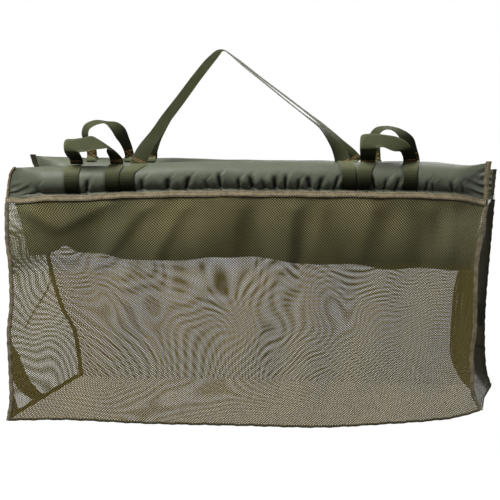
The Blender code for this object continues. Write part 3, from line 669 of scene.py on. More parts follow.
def pucker_depth(puckers, x, height):
    """How far the folds push the cloth in, and the painted shade in its creases, by place and share of the
    height.
    """
    depth = np.zeros(np.broadcast(x, height).shape)
    crease = np.zeros_like(depth)
    for fold in puckers:
        reach = fold["reach"]
        climb = height / reach
        width = fold["width"] * (0.5 + 0.75 * np.clip(climb, 0, 1.1))
        across = (x - (fold["x"] + fold["slant"] * (height - 0.15))) / width
        fade = smooth((climb - 0.12) / 0.2) * (1 - smooth((climb - 0.68) / 0.32))
        valley = bell(across)
        shoulder = bell((np.abs(across) - 2.2) / 1.1)
        depth += fold["depth"] * fade * (valley - 0.22 * shoulder)
        # Painted shade in each fold's valley, negative (paler) on its shoulders
        crease += fold["depth"] / (5 * MM) * fade * (valley - 0.12 * shoulder)
        # A fine wrinkle drifts sideways from the head of the fold, and the cloth bellies out beside it
        top = fold["x"] + fold["slant"] * (reach - 0.15)
        past = height - 0.8 * reach
        drift = (x - top - 85 * MM * past) / (4.5 * MM)
        along = past / 0.22
        strip = smooth(along / 0.3) * (1 - smooth((along - 0.4) / 0.6))
        depth += fold["wrinkle"] * strip * (bell(drift) - 0.5 * bell(drift - 1.8))
        belly = bell((x - fold["x"] - 14 * MM) / (17 * MM)) * bell((height - 0.42) / 0.16)
        depth -= fold["belly"] * belly
    return depth, crease


END_CREASES = (
    # End (0 left, 1 right), height there as a share, its slope towards the middle, depth, length
    (0, 0.36, 0.12, 1.6 * MM, 60 * MM),
    (0, 0.2, 0.3, 2.4 * MM, 80 * MM),
    (0, 0.1, 0.5, 1.8 * MM, 70 * MM),
    (1, 0.34, 0.22, 4.4 * MM, 95 * MM),
    (1, 0.52, 0.02, 3 * MM, 75 * MM),
    (1, 0.74, -0.35, 2.4 * MM, 62 * MM),
    (1, 0.14, 0.3, 3 * MM, 75 * MM),
)


def end_crease_depth(side, x, height):
    """Creases that run from the flattened ends into the round part of the sleeve."""
    depth = np.zeros(np.broadcast(x, height).shape)
    for end, start, slope, deep, reach in END_CREASES:
        away = side.right_x - x if end else x - side.left_x
        line = start + slope * away / (100 * MM)
        width = 0.035 + 0.05 * np.clip(away / reach, 0, 1)
        fade = smooth(away / (14 * MM)) * (1 - smooth((away - 0.35 * reach) / (0.65 * reach)))
        across = (height - line) / width
        depth += deep * fade * (bell(across) - 0.45 * bell((np.abs(across) - 1.8) / 0.7))
    return depth


STRAPS = {
    # X of the middle of each leg of webbing on its sleeve, low and high on it, in millimetres
    "front_left_loop_left": (-373, -368), "front_left_loop_right": (-273, -264),
    "front_handle_left": (-236, -205), "front_handle_right": (310, 301),
    "front_right_loop_left": (348, 361), "front_right_loop_right": (461, 465),
    "rear_left_loop_left": (-337, -336), "rear_left_loop_right": (-242, -240),
    "rear_handle_left": (-190, -186), "rear_handle_right": (330, 328),
    "rear_right_loop_left": (390, 389), "rear_right_loop_right": (486, 487),
}


def straps_on(side):
    """Name, low X and high X of each webbing leg on a side's sleeve."""
    return [(name, low, high) for name, (low, high) in STRAPS.items() if name.startswith(side.name)]


def strap_press(side, x):
    """How far the webbing presses the sleeve in."""
    press = np.zeros_like(x)
    for _, low, _ in straps_on(side):
        press += 1.2 * MM * (1 - smooth((np.abs(x - low * MM) - 14 * MM) / (12 * MM)))
    return press


def leg_shift(angles):
    """Share of the way from a leg's high X to its low X, at angles round the sleeve."""
    return smooth((angles - math.radians(2)) / math.radians(70))


def strap_shade(side, x, angles):
    """How deep in the shade of the webbing's edges the cloth lies, by place and angle round the sleeve."""
    shade = np.zeros(np.broadcast(x, angles).shape)
    for _, low, high in straps_on(side):
        line = mix(high, low, leg_shift(angles)) * MM
        for edge, deep in ((1, 1.1), (-1, 0.5)):
            away = x - line - edge * (WEB_WIDTH / 2 - 0.4 * MM)
            shade += deep * bell(away / (2.4 * MM)) * smooth((angles - 0.25) / 0.4)
    return shade


def sleeve_section(side, x, angles, depth):
    """Places on the sleeve, outward and up, at x along it and angles round it, pushed in by depth."""
    half_depth = mix(side.radius, END_HALF_THICKNESS, side.pinch(x)[None, :])
    top = side.crown_z(x)[None, :]
    low = side.seam_z(x, TAIL_NECK)[None, :]
    outward = (half_depth - np.minimum(depth, 0.9 * half_depth)) * np.sin(angles[:, None])
    height = (top + low) / 2 + (top - low) / 2 * (1 - depth / side.radius) * np.cos(angles[:, None])
    return outward, height


SLEEVE_SWELL = ((310 * MM, 1.1 * MM, 0.4), (173 * MM, 0.8 * MM, 2.2), (97 * MM, 0.5 * MM, 1.1))


def sleeve_tail(side, x, outward, up, sign):
    """Rows that lead one edge of the sleeve's section into its flat tail, which is sewn to the mesh."""
    share = np.linspace(0, 1, SLEEVE_NECK_STEPS + 1)[1:]
    tail = side.seam_out(x) + sign * TAIL_HALF_THICKNESS
    top = side.seam_z(x)
    more_out = mix(outward[None, :], tail[None, :], smooth(share)[:, None])
    more_up = mix(up[None, :], top[None, :], share[:, None])
    return np.vstack([more_out, tail[None, :]]), np.vstack([more_up, (top - TAIL_DROP)[None, :]])


def build_sleeve(side, seed):
    """The coated sleeve round its float: smooth on top, gathered into the seam, pinched flat at its ends."""
    x = np.linspace(side.left_x, side.right_x, SLEEVE_COLUMNS)
    angles = np.linspace(-NECK_ANGLE, NECK_ANGLE, SLEEVE_ROUND_STEPS)
    height = 1 - np.abs(angles) / math.pi
    depth = np.zeros((len(angles), len(x)))
    crease = np.zeros_like(depth)
    for sign, extra in ((1, 0), (-1, INNER_SEED)):
        rows = angles * sign >= 0
        folds = make_puckers(side, sign, seed + extra)
        depth[rows], crease[rows] = pucker_depth(folds, x[None, :], height[rows][:, None])
    middle_part = (1 - side.pinch(x)) ** 0.7
    depth *= middle_part
    crease *= middle_part
    ends = end_crease_depth(side, x[None, :], height[:, None])
    # Painted shade in the end creases and in the webbing's shade at its edges
    crease += ends / (6 * MM) + strap_shade(side, x[None, :], angles[:, None])
    swell = ripple(x, SLEEVE_SWELL)
    total = depth + ends * side.pinch(x) ** 0.3 + (strap_press(side, x) + swell * 0.5) * middle_part
    outward, up = sleeve_section(side, x, angles, total)
    last_out, last_up = sleeve_tail(side, x, outward[-1], up[-1], 1)
    first_out, first_up = sleeve_tail(side, x, outward[0], up[0], -1)
    outward = np.vstack([first_out[::-1], outward, last_out])
    up = np.vstack([first_up[::-1], up, last_up])
    low = side.seam_z(x)[None, :]
    share = np.clip((up - low) / (side.crown_z(x)[None, :] - low), 0, 1)
    grid = np.stack([x[None, :] + side.end_lean(x[None, :], share), side.y(outward), up], -1)
    v = along_curve(grid[:, len(x) // 2])
    uv = together(x[None, :], v[:, None])
    piece = grid_object(side.name + "_sleeve_cloth", grid, uv, COATED, side.body, turned=side.outward < 0)
    # The sleeve's cloth reads its painted crease shade from this value
    set_value(piece, "crease", np.pad(crease, ((len(last_up),) * 2, (0, 0)), mode="edge"))
    stand_in(side.name + "_float_sleeve")


FOAM_ROUNDING = 14 * MM
FOAM_SIDES = 48
FOAM_STEPS = 60
ROUNDING_STEPS = 7


def build_foam(side):
    """The float itself: a bar of foam that follows the sleeve round it, with softened ends."""
    low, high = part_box(side.name + "_foam_float")
    turns = np.linspace(0, 2 * math.pi, FOAM_SIDES + 1)
    rounded = FOAM_ROUNDING * (1 - np.cos(np.linspace(0, math.pi / 2, ROUNDING_STEPS)))
    x = np.concatenate([low.x + rounded,
                        np.linspace(low.x + 2 * FOAM_ROUNDING, high.x - 2 * FOAM_ROUNDING, FOAM_STEPS),
                        (high.x - rounded)[::-1]])
    from_end = np.minimum(x - low.x, high.x - x)
    size = np.sqrt(np.clip(1 - (1 - np.clip(from_end / FOAM_ROUNDING, 0, 1)) ** 2, 0, 1))
    top = side.crown_z(x)
    bottom = side.seam_z(x)
    half = np.minimum((top - bottom) / 2 - FOAM_CLEARANCE, side.radius - FOAM_CLEARANCE) * size
    middle = top - FOAM_CLEARANCE / 2 - (side.radius - FOAM_CLEARANCE)
    grid = together(x[:, None], side.axis_y + half[:, None] * np.sin(turns),
                    middle[:, None] + half[:, None] * np.cos(turns))
    uv = together(turns[None, :] * side.radius, x[:, None])
    piece = grid_object(side.name + "_foam_bar", grid, uv, FOAM, side.body)
    stand_in(side.name + "_foam_float")


# Mesh bag

def lean(drop_share):
    """How far the bag's side walls stand further apart, lower down."""
    return (BOTTOM_DEPTH / 2 - abs(FRONT.axis_y)) * drop_share


FRONT_FOLDS = (
    # Share of the length at the seam and at the flap's hem, half width as a share, height
    (0.3, 0.2, 0.022, 11 * MM), (0.38, 0.31, 0.018, 8 * MM), (0.49, 0.47, 0.02, 7 * MM),
    (0.6, 0.595, 0.018, 11 * MM), (0.665, 0.645, 0.016, 7 * MM), (0.765, 0.74, 0.028, 13 * MM),
    (0.87, 0.9, 0.018, 12 * MM), (0.935, 0.955, 0.024, -5 * MM),
)
HEM_DROP = 0.28
SWAG_SHARE = 0.106
SWAG_DROP = 0.122
SWAG_ARMS = (0.085, 0.125)
SWAG_HEIGHT = 10 * MM


def front_folds(share, drop):
    """Folds in the front panel's upper part: a slack swag at the left and a few upright ridges."""
    arm = np.where(share < SWAG_SHARE, *SWAG_ARMS)
    swag = SWAG_DROP * (1 - np.sqrt((share - SWAG_SHARE) ** 2 + 0.012 ** 2) / arm)
    total = SWAG_HEIGHT * smooth((swag + 0.03) / 0.08) * bell((drop - swag) / 0.042)
    for top, low, width, height in FRONT_FOLDS:
        line = mix(top, low, drop / HEM_DROP)
        fade = smooth((drop - 0.005) / 0.05) * (1 - smooth((drop - 0.26) / 0.16))
        total = total + height * fade * bell((share - line) / width)
    return total * smooth(drop / 0.03)


def panel_points(side, shares, drops):
    """Points on a side panel: shares of its length (columns) and of its drop below the seam (rows)."""
    share = shares[None, :]
    drop = drops[:, None]
    left = side.edge_x(False, drop)
    right = side.edge_x(True, drop)
    x = mix(left, right, share)
    top_x = np.clip(mix(side.edge_x(False, 0), side.edge_x(True, 0), shares), side.left_x, side.right_x)
    top = side.seam_z(top_x, -SEAM_OVERLAP)[None, :]
    z = mix(top - SEAM_ALLOWANCE, side.bottom_z(share), drop)
    ramp = smooth((np.minimum(share, 1 - share) - 0.012) / 0.1)
    slanted = share + 0.09 * drop + 0.012 * np.sin(9 * share)
    wave = 0.65 * np.cos(2 * math.pi * 7.3 * slanted + side.outward)
    wave = wave + 0.45 * np.sin(2 * math.pi * 11.1 * (share - 0.12 * drop) + 1)
    wave = wave + 0.35 * np.sin(2 * math.pi * (2.7 * share + 1.4 * drop))
    drape = DRAPE_DEPTH * ramp * np.sin(math.pi * np.clip(drop * 1.05, 0, 1)) ** 0.6 * wave
    outward = PANEL_LAYER + lean(drop) + drape + side.seam_out(top_x)[None, :] * (1 - drop) ** 2
    if side is FRONT:
        outward = outward + front_folds(share, drop)
    return together(x, side.y(outward), z)


def flat_uv(grid):
    """The cloth's own coordinates: the length along its rows and columns, measured on the hung cloth."""
    across = np.linalg.norm(np.diff(grid, axis=1), axis=-1)
    down = np.linalg.norm(np.diff(grid, axis=0), axis=-1)
    u = np.concatenate([np.zeros((grid.shape[0], 1)), np.cumsum(across, 1)], 1)
    v = np.concatenate([np.zeros((1, grid.shape[1])), np.cumsum(down, 0)], 0)
    u = u - u[:, u.shape[1] // 2][:, None]
    return np.stack([u, np.broadcast_to(v.mean(1)[:, None], u.shape)], -1)


def build_panel(side):
    """One side of the mesh bag, with its seam allowance under the tape."""
    grid = panel_points(side, np.linspace(0, 1, PANEL_COLUMNS), np.linspace(0, 1, PANEL_ROWS))
    top = grid[:1].copy()
    top[..., 2] += SEAM_ALLOWANCE
    grid = np.concatenate([top, grid], 0)
    cloth = FRONT_MESH if side is FRONT else REAR_MESH
    piece = grid_object(side.name + "_panel_mesh", grid, flat_uv(grid), cloth, side.body,
                        turned=side.outward > 0)
    stand_in(side.name + "_mesh_panel")


def edge_line(side, right, drops):
    """Points down an upright edge of a side panel."""
    return panel_points(side, np.array([1.0 if right else 0.0]), drops)[:, 0]


FOLD_SHARES = (0.05, 0.3, 0.75, 0.95, 1, 1, 0.7, 0.1)


GUSSET_SWAY = 2.5 * MM


def gusset_grid(right, drops, shares):
    """Points on an end wall: drops below the seam (rows) and shares from the front to the rear (columns)."""
    front = edge_line(FRONT, right, drops)[:, None, :]
    rear = edge_line(REAR, right, drops)[:, None, :]
    share = shares[None, :]
    grid = mix(front, rear, share[..., None])
    if right:
        fold = FOLD_DEPTH * eased(list(zip(DROP_SHARES, FOLD_SHARES)), drops)
        grid[..., 0] -= fold[:, None] * (1 - np.abs(2 * share - 1)) ** 0.92
    sway = GUSSET_SWAY * np.sin(9 * share) * np.sin(np.pi * share)
    grid[..., 0] += sway * np.sin(np.pi * drops)[:, None]
    return grid


def build_gusset(right):
    """An end wall of the bag."""
    drops = np.linspace(0, 1, PANEL_ROWS)
    shares = np.linspace(0, 1, GUSSET_COLUMNS + 1)
    grid = gusset_grid(right, drops, shares)
    piece = grid_object(ENDS[right] + "_gusset_mesh", grid, flat_uv(grid), RIGHT_MESH if right else LEFT_MESH,
                        turned=not right)
    set_value(piece, "dense", gusset_density(right, shares[None, :], drops[:, None]))
    blend_gusset(piece)
    stand_in(ENDS[right] + "_end_gusset")


def gusset_density(right, share, drop):
    """How much closer the gathered parts of a gusset stand than its flat ones, which its mesh also darkens as
    painted shade.
    """
    if right:
        return 1.2 * smooth((share - 0.72) / 0.12) + 1.6 * (1 - smooth((drop - 0.04) / 0.16))
    crease = mix(0.94, 0.34, (drop - 0.46) / 0.15)
    held = smooth((drop - 0.44) / 0.03) * (1 - smooth((drop - 0.6) / 0.03))
    gathered = smooth((drop - 0.11) / 0.05) * (1 - smooth((drop - 0.28) / 0.1))
    return 0.3 + 1.2 * gathered + 2 * held * bell((share - crease) / 0.022)


TUCK_PLACES = (
    # Share of the left gusset's width, and the drops of the tuck's upper and lower edge there
    (0.01, 0.618, 0.79), (0.06, 0.662, 0.845), (0.12, 0.7, 0.888), (0.2, 0.802, 0.925),
    (0.27, 0.87, 0.953), (0.41, 0.953, 0.995), (0.5, 0.985, 1.0),
)
CORNER_PLACES = ((0.01, 0.86, 1.0), (0.05, 0.9, 1.0), (0.12, 0.97, 1.0))
PATCH_PLACES = ((0.855, 0.53, 0.655), (0.93, 0.535, 0.66), (0.99, 0.54, 0.655))
CREASE_SHADE_PLACES = ((0.83, 0.745, 0.757), (0.9, 0.757, 0.768), (0.98, 0.772, 0.785))


def build_on_gusset(name, right, places, offset, material):
    """A strip that lies on a gusset, between two drops at each share of its width."""
    table = np.array(places)
    columns = []
    for share in np.linspace(table[0, 0], table[-1, 0], ON_GUSSET_COLUMNS):
        upper, lower = (np.interp(share, table[:, 0], table[:, k]) for k in (1, 2))
        drops = np.linspace(upper, lower, ON_GUSSET_ROWS)
        columns.append(gusset_grid(right, drops, np.array([share]))[:, 0])
    grid = np.stack(columns, 1) + np.array(offset)
    piece = grid_object(name, grid, flat_uv(grid), material, turned=not right)
    blend_gusset(piece)
    return piece


def build_gussets():
    """Both end walls: the left one with its slack tucked in at the front, the right one folded inward."""
    inward = (2 * MM, 0, 0)
    outward = (1.2 * MM, -1 * MM, 0)
    tucked = [build_on_gusset("left_gusset_tuck", False, TUCK_PLACES, inward, TUCK_MESH),
              build_on_gusset("left_corner_tuck", False, CORNER_PLACES, inward, TUCK_MESH)]
    build_gusset(False)
    build_gusset(True)
    build_on_gusset("right_end_patch", True, PATCH_PLACES, outward, DARK_BINDING)
    # A dark strip of tape along a fold of the right gusset: painted shade
    build_on_gusset("right_end_crease", True, CREASE_SHADE_PLACES, outward, DARK_BINDING)


def build_bottom_seam(side):
    """Doubled mesh along the lower edge of a side panel."""
    line = panel_points(side, np.linspace(0.004, 0.996, 300), np.array([1.0]))[0]
    line[:, 1] += side.outward * 0.8 * MM
    line[:, 2] += 2 * MM + ripple(line[:, 0], ((57 * MM, 0.6 * MM, 0.2), (23 * MM, 0.4 * MM, 1.4)))
    band(side.name + "_bottom_seam", tape_rows(line, (0, 0, 6.5 * MM)), 1.4 * MM, OLIVE_SEAM, side.body,
         crown=0.4 * MM)


def blend_gusset(piece):
    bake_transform(piece)


BOTTOM_SAG = 12 * MM
BOTTOM_WAVE = 3 * MM


def build_bottom():
    """The bag's bottom: between the lower edges of its four walls, sagging a little."""
    shares = np.linspace(0, 1, PANEL_COLUMNS)
    depths = np.linspace(0, 1, GUSSET_COLUMNS + 1)
    low = np.array([1.0])
    front, rear = (panel_points(side, shares, low)[0] for side in SIDES)
    left, right = (gusset_grid(end, low, depths)[0] for end in (False, True))
    share = shares[None, :, None]
    depth = depths[:, None, None]
    across = mix(front[None], rear[None], depth)
    along = mix(left[:, None], right[:, None], share)
    corners = mix(mix(left[0], right[0], share), mix(left[-1], right[-1], share), depth)
    grid = across + along - corners
    share, depth = share[..., 0], depth[..., 0]
    sag = BOTTOM_SAG * np.sin(np.pi * depth) * np.sin(np.pi * share)
    grid[..., 2] -= sag + BOTTOM_WAVE * np.sin(7 * np.pi * share) * np.sin(np.pi * depth)
    piece = grid_object("bottom_mesh", grid, flat_uv(grid), REAR_MESH, "rear_side")
    stand_in("bottom_mesh_panel")


FLAP_HEM = in_mm((
    # X along the sling and height of the hem there
    (-530, -516), (-449, -510), (-420, -498), (-394, -484), (-361, -500), (-313, -504), (-240, -520),
    (-101, -522), (-21, -514), (67, -513), (200, -531), (329, -533), (427, -546), (487, -541), (590, -548),
    (640, -545),
))
FLAP_RIGHT = 655 * MM
FLAP_FOLDS = ((187 * MM, 6 * MM, 0.5), (121 * MM, 4.5 * MM, 2.0), (73 * MM, 2 * MM, 4.0))
FLAP_BEHIND = 2.5 * MM
FLAP_FORWARD = 14 * MM
FLAP_COLUMNS = 280
FLAP_ROWS = 46


def build_flap():
    """Inner closure flap: opaque cloth that hangs behind the front panel in soft slanting folds."""
    columns = np.linspace(FRONT.left_x + 2 * MM, FLAP_RIGHT, FLAP_COLUMNS)
    fall = np.linspace(0, 1, FLAP_ROWS)[:, None]
    top = FRONT.seam_z(columns, -TAIL_DROP) + 8 * MM
    slope = 36 * MM * (1 - smooth((columns - columns[0]) / (420 * MM)))
    slope = slope - 27 * MM * smooth((columns - 0.55) / 0.1)
    hem = eased(FLAP_HEM, columns + slope)
    x = columns[None, :] + slope[None, :] * fall ** 0.8
    z = mix(top[None, :], hem[None, :], fall)
    folds = ripple(x + 0.5 * (z - top[None, :]), FLAP_FOLDS)
    forward = FRONT.seam_out(np.clip(columns, FRONT.left_x, FRONT.right_x))[None, :] / SEAM_FORWARD
    y = FRONT.axis_y + FLAP_BEHIND - (FLAP_FORWARD * forward + 1 * MM * fall ** 1.3)
    y = y + 0.55 * folds * smooth(fall * 1.15)
    grid = together(x, y, z)
    piece = grid_object("closure_flap", grid, flat_uv(grid), FLAP, "inner_flap", turned=True)
    stand_in("inner_closure_flap")


# Tapes and webbing

BAND_COLUMNS = 8
BAND_RING = 2 * BAND_COLUMNS


def band(name, rows, thickness, material, body=None, crown=0.0):
    """Flat webbing or tape along a line: each row has the line's place and the vector across the tape."""
    places, normal = strip_frame(rows)
    across = rows[:, 3:6]
    width = np.linalg.norm(across, axis=1)
    spread = np.linspace(-0.5, 0.5, BAND_COLUMNS + 1)
    half = thickness / 2 * (1 - np.abs(2 * spread) ** 10) ** 0.5
    rise = crown * (1 - (2 * spread) ** 2)
    upper = np.stack([spread, half + rise], -1)
    under = np.stack([spread, -half + rise], -1)[::-1][1:-1]
    section = np.concatenate([upper, under, upper[:1]])
    grid = places[:, None, :] + across[:, None, :] * section[None, :, :1]
    grid = grid + normal[:, None, :] * section[None, :, 1:]
    uv = together(section[None, :, 0] * width[:, None], along_curve(places)[:, None])
    index = np.arange(len(grid) * BAND_RING).reshape(len(grid), BAND_RING)
    faces = quads(np.concatenate([index, index[:, :1]], 1)).reshape(-1, 4).tolist()
    faces += [index[0].tolist()[::-1], index[-1].tolist()]
    uv_faces = np.concatenate([quads(uv).reshape(-1, 2), uv[0, :-1][::-1], uv[-1, :-1]])
    piece = new_object(name, grid[:, :-1].reshape(-1, 3), faces, None, material, body, uv_faces=uv_faces)
    piece.data.set_sharp_from_angle(angle=math.radians(50))
    return piece


def strip_frame(rows):
    """Places and upright directions of a strip's rows."""
    along = unit(np.gradient(rows[:, :3], axis=0))
    return rows[:, :3], unit(np.cross(along, rows[:, 3:6]))


def tape_rows(points, across):
    """Rows for band(): a line of points with one vector across them all."""
    return np.concatenate([points, np.broadcast_to(np.array(across, float), points.shape)], 1)


TAPE_STEP = 3 * MM
TAPE_WOBBLE = ((143 * MM, 0.6 * MM, 0.3), (61 * MM, 0.35 * MM, 1.7))
TAPE_BULGE = ((47 * MM, 0.25 * MM, 0.9), (23 * MM, 0.15 * MM, 2.1))


def seam_tape_line(side, distance, drop):
    """Line along the seam, a distance outward from the tail's middle and a drop below its top."""
    left = side.left_x + side.end_lean(side.left_x, 0) - 2 * MM
    right = side.right_x + side.end_lean(side.right_x, 0) - 4 * MM
    x = np.arange(left, right, TAPE_STEP)
    held = np.clip(x, side.left_x, side.right_x)
    z = side.seam_z(held) - drop + ripple(x, TAPE_WOBBLE)
    return np.stack([x, side.y(distance + ripple(x, TAPE_BULGE) + side.seam_out(held)), z], -1)


def build_seam_tape(side):
    """Folded tape over the seam between sleeve and mesh, tilted a little to the light."""
    line = seam_tape_line(side, TAPE_LAYER + 0.5 * MM, TAPE_WIDTH / 2)
    across = TAPE_WIDTH * np.array([0, -side.outward * TAPE_TILT, (1 - TAPE_TILT ** 2) ** 0.5])
    piece = band(side.name + "_seam_tape", tape_rows(line, across), TAPE * 1.4, BINDING, side.body,
                 crown=0.5 * MM)
    stand_in(side.name + "_seam_binding")


EDGE_STRAY = ((33 * MM, 0.5 * MM, 0.2), (19 * MM, 0.35 * MM, 1.9))
EDGE_PUFF = ((27 * MM, 0.3 * MM, 0.5), (14 * MM, 0.2 * MM, 2.5))
EDGE_REACH = EDGE_TAPE_WIDTH - 1.5 * MM
EDGE_ROWS = 150
EDGE_SECTION = (
    # Inward from the edge, and across in millimetres
    (EDGE_REACH, 1.5), (4 * MM, 1.7), (0, 1.6), (-1.2 * MM, 0.8), (-1.5 * MM, 0), (-1.2 * MM, -0.8),
    (0, -1.6), (4 * MM, -1.7), (EDGE_REACH, -1.5), (EDGE_REACH, -0.7), (0, -0.6), (0, 0.6), (EDGE_REACH, 0.7),
)


def folded_tape(side, right, part, line, run, section, swell=0.0, turned=False):
    """Tape folded round a line of points. Its section is a ring of places inward along X and across."""
    ring = np.array(section + section[:1]) * (INWARD[right], 1)
    grid = np.repeat(line[:, None], len(ring), 1)
    grid[..., 0] += ring[:, 0]
    grid[..., 1] += ring[:, 1] * (1 + swell)
    uv = together(along_curve(ring)[None, :], run[:, None])
    name = f"{side.name}_{ENDS[right]}_{part}"
    cloth = EDGE_BINDING if side is FRONT else DARK_BINDING
    piece = grid_object(name + "_tape", grid, uv, cloth, side.body, turned=turned)
    stand_in(name + "_binding")


def build_edge_tape(side, right):
    """Folded tape round an upright edge of the bag."""
    edge = edge_line(side, right, np.linspace(0, 1, EDGE_ROWS))
    far = along_curve(edge)
    edge[:, 0] += ripple(far, EDGE_STRAY)
    section = tuple((along, across * MM) for along, across in EDGE_SECTION)
    folded_tape(side, right, "edge", edge, far, section,
                ripple(far, EDGE_PUFF)[:, None] / MM, turned=right)


END_STRAY = ((0.31, 0.4 * MM, 1), (0.17, 0.3 * MM, 2))
END_ROWS = 34


def build_sleeve_end_tape(side, right):
    """Folded tape round a flattened sleeve end, and its stitches."""
    end = np.array([side.right_x if right else side.left_x])
    top = side.crown_z(end)[0] + 1.5 * MM
    low = side.seam_z(end)[0] - 2 * MM
    rise = np.linspace(0, 1, END_ROWS)
    edge = end + side.end_lean(end, rise) + ripple(rise, END_STRAY)
    z = mix(low, top, rise)
    wide = side.tables["end_tapes"][right]
    thick = END_HALF_THICKNESS + 0.4 * MM
    section = ((wide, thick + 1 * MM), (0, thick + 1 * MM), (-1.4 * MM, thick), (-1.9 * MM, 0),
               (-1.4 * MM, -thick), (0, -thick - 1 * MM), (wide, -thick - 1 * MM), (wide, -thick),
               (0, -thick), (0, thick), (wide, thick))
    line = np.stack([edge, np.full(len(rise), side.axis_y), z], -1)
    folded_tape(side, right, "sleeve_end", line, z - low, section, turned=not right)
    line[:, 0] = edge + INWARD[right] * 0.55 * wide
    line[:, 1] = side.y(thick + 1.1 * MM)
    stitch_mesh(f"{side.name}_{ENDS[right]}_end_stitching", [line], TAN_THREAD, side.body)


def build_bottom_tape(right):
    """Dark tape on the seam between an end gusset and the bottom."""
    line = gusset_grid(right, np.array([1.0]), np.linspace(0.01, 0.99, 90))[0]
    line[:, 0] -= INWARD[right] * 1.2 * MM
    line[:, 2] += 4 * MM
    rows = tape_rows(line, (0, 0, 12 * MM))
    piece = band(ENDS[right] + "_bottom_tape", rows, TAPE, DARK_BINDING, "rear_side")
    stand_in(ENDS[right] + "_bottom_binding")


def strap_line(side, low_x, high_x):
    """Line of a webbing leg over the outside of a sleeve, from just over its top to under the seam tape."""
    angles = np.radians(np.arange(-12 if side is FRONT else -39, 166, 3.0))
    x = mix(high_x, low_x, leg_shift(angles))
    reach = side.radius + GAP + WEB_THICKNESS / 2 + 1.2 * MM
    top = side.crown_z(x)
    seam = side.seam_z(x[-1:])[0]
    low = side.seam_z(x, TAIL_NECK)
    outward = reach * np.sin(angles)
    height = (top + low) / 2 + ((top - low) / 2 + (reach - side.radius)) * np.cos(angles)
    neck = angles > NECK_ANGLE
    share = (angles[neck] - NECK_ANGLE) / (angles[-1] - NECK_ANGLE)
    first = np.flatnonzero(neck)[0] - 1
    outward[neck] = mix(outward[first], TAPE_LAYER - 1.3 * MM + side.seam_out(x[-1:])[0], smooth(share))
    height[neck] = mix(height[first], seam - 3 * MM, share)
    return np.stack([x, side.y(outward), height], -1)


# Share of the way along a strip of webbing, and its painted shade (1) and painted highlight (-1) there
LEG_PAINTED_LIGHT = ((0, 0), (0.1, -0.6), (0.32, -0.5), (0.46, 0.1), (0.6, 0.75), (0.8, 1), (1, 1))
LOOP_PAINTED_LIGHT = {
    "front": ((0, 0.3), (0.06, 0.85), (0.13, 0.85), (0.21, 0), (0.4, -0.05), (0.62, 0), (0.72, 0.5),
              (0.78, 0.9), (0.94, 0.9), (1, 0.2)),
    "rear": ((0, 0), (0.25, 0), (0.35, -0.12), (0.5, -0.12), (0.62, 0.35), (0.7, 0.8), (0.94, 0.95),
             (1, 0.3)),
}
HANDLE_PAINTED_LIGHT = {
    "front": ((0, -0.1), (0.04, 0.3), (0.2, 0.5), (0.42, 0.4), (0.5, 0), (0.75, 0), (0.86, 0.3), (0.95, 0.3),
              (1, 0)),
    "rear": ((0, 0.8), (0.08, 0.8), (0.2, 0.4), (0.5, 0), (0.9, -0.2), (0.96, 0.2), (1, 0.7)),
}


def set_painted_light(piece, table):
    """Paints shade and highlight on a strip made by band() along its length, as the table says."""
    rows = len(piece.data.vertices) // BAND_RING
    share = np.repeat(np.linspace(0, 1, rows), BAND_RING)
    set_value(piece, "painted_light", np.interp(share, *np.array(table).T))


def build_legs(side):
    """The webbing sewn over the sleeve, from the seam tape to where it leaves as a loop or a handle."""
    for name, low, high in straps_on(side):
        rows = tape_rows(strap_line(side, low * MM, high * MM), (WEB_WIDTH, 0, 0))
        rows[:, 3] *= 1 - LEG_TAPER * smooth(np.linspace(-0.2, 1.8, len(rows)))
        if side is REAR:
            rows[:, 3] *= 1 - REAR_LEG_TAPER * (1 - smooth(np.linspace(0, 1.5, len(rows))))
        piece = band(name + "_leg_webbing", rows, WEB_THICKNESS, WEBBING, side.body)
        set_painted_light(piece, LEG_PAINTED_LIGHT)
        stand_in(name + "_leg")


def turned_rows(places, twists):
    """Rows for band(): webbing turned about its own length, from facing front at 0 to edge on at 1 or -1."""
    depth = np.array([0, 1, 0])
    along = unit(np.gradient(places, axis=0))
    face = unit(np.cross(along, depth))
    angle = twists[:, None] * math.pi / 2
    return np.concatenate([places, WEB_WIDTH * (face * np.cos(angle) + depth * np.sin(angle))], 1)


def blend_to(piece):
    """Bakes a piece's placement into its points."""
    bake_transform(piece)


def build_swinging(name, rows, material, painted_light, sewn):
    """A loop or handle, with the stitches on both faces of both its feet."""
    piece = band(name + "_webbing", rows, WEB_THICKNESS, material)
    set_painted_light(piece, painted_light)
    blend_to(piece)
    stand_in(name)
    lines = [line for foot in (rows, rows[::-1]) for face in (1, -1) for line in sewn(foot, face)]
    blend_to(stitch_mesh(name + "_stitching", lines, TAN_THREAD))


def build_loop(side, end):
    """Small lifting loop, sewn to the straps on top of the sleeve."""
    name = f"{side.name}_{end}_loop"
    rows = strip_rows(in_mm(LOOP_EDGES[name]), WEB_STEP)
    sewn = loop_stitches if side is FRONT else star_stitches
    build_swinging(name, rows, WEBBING, LOOP_PAINTED_LIGHT[side.name], sewn)


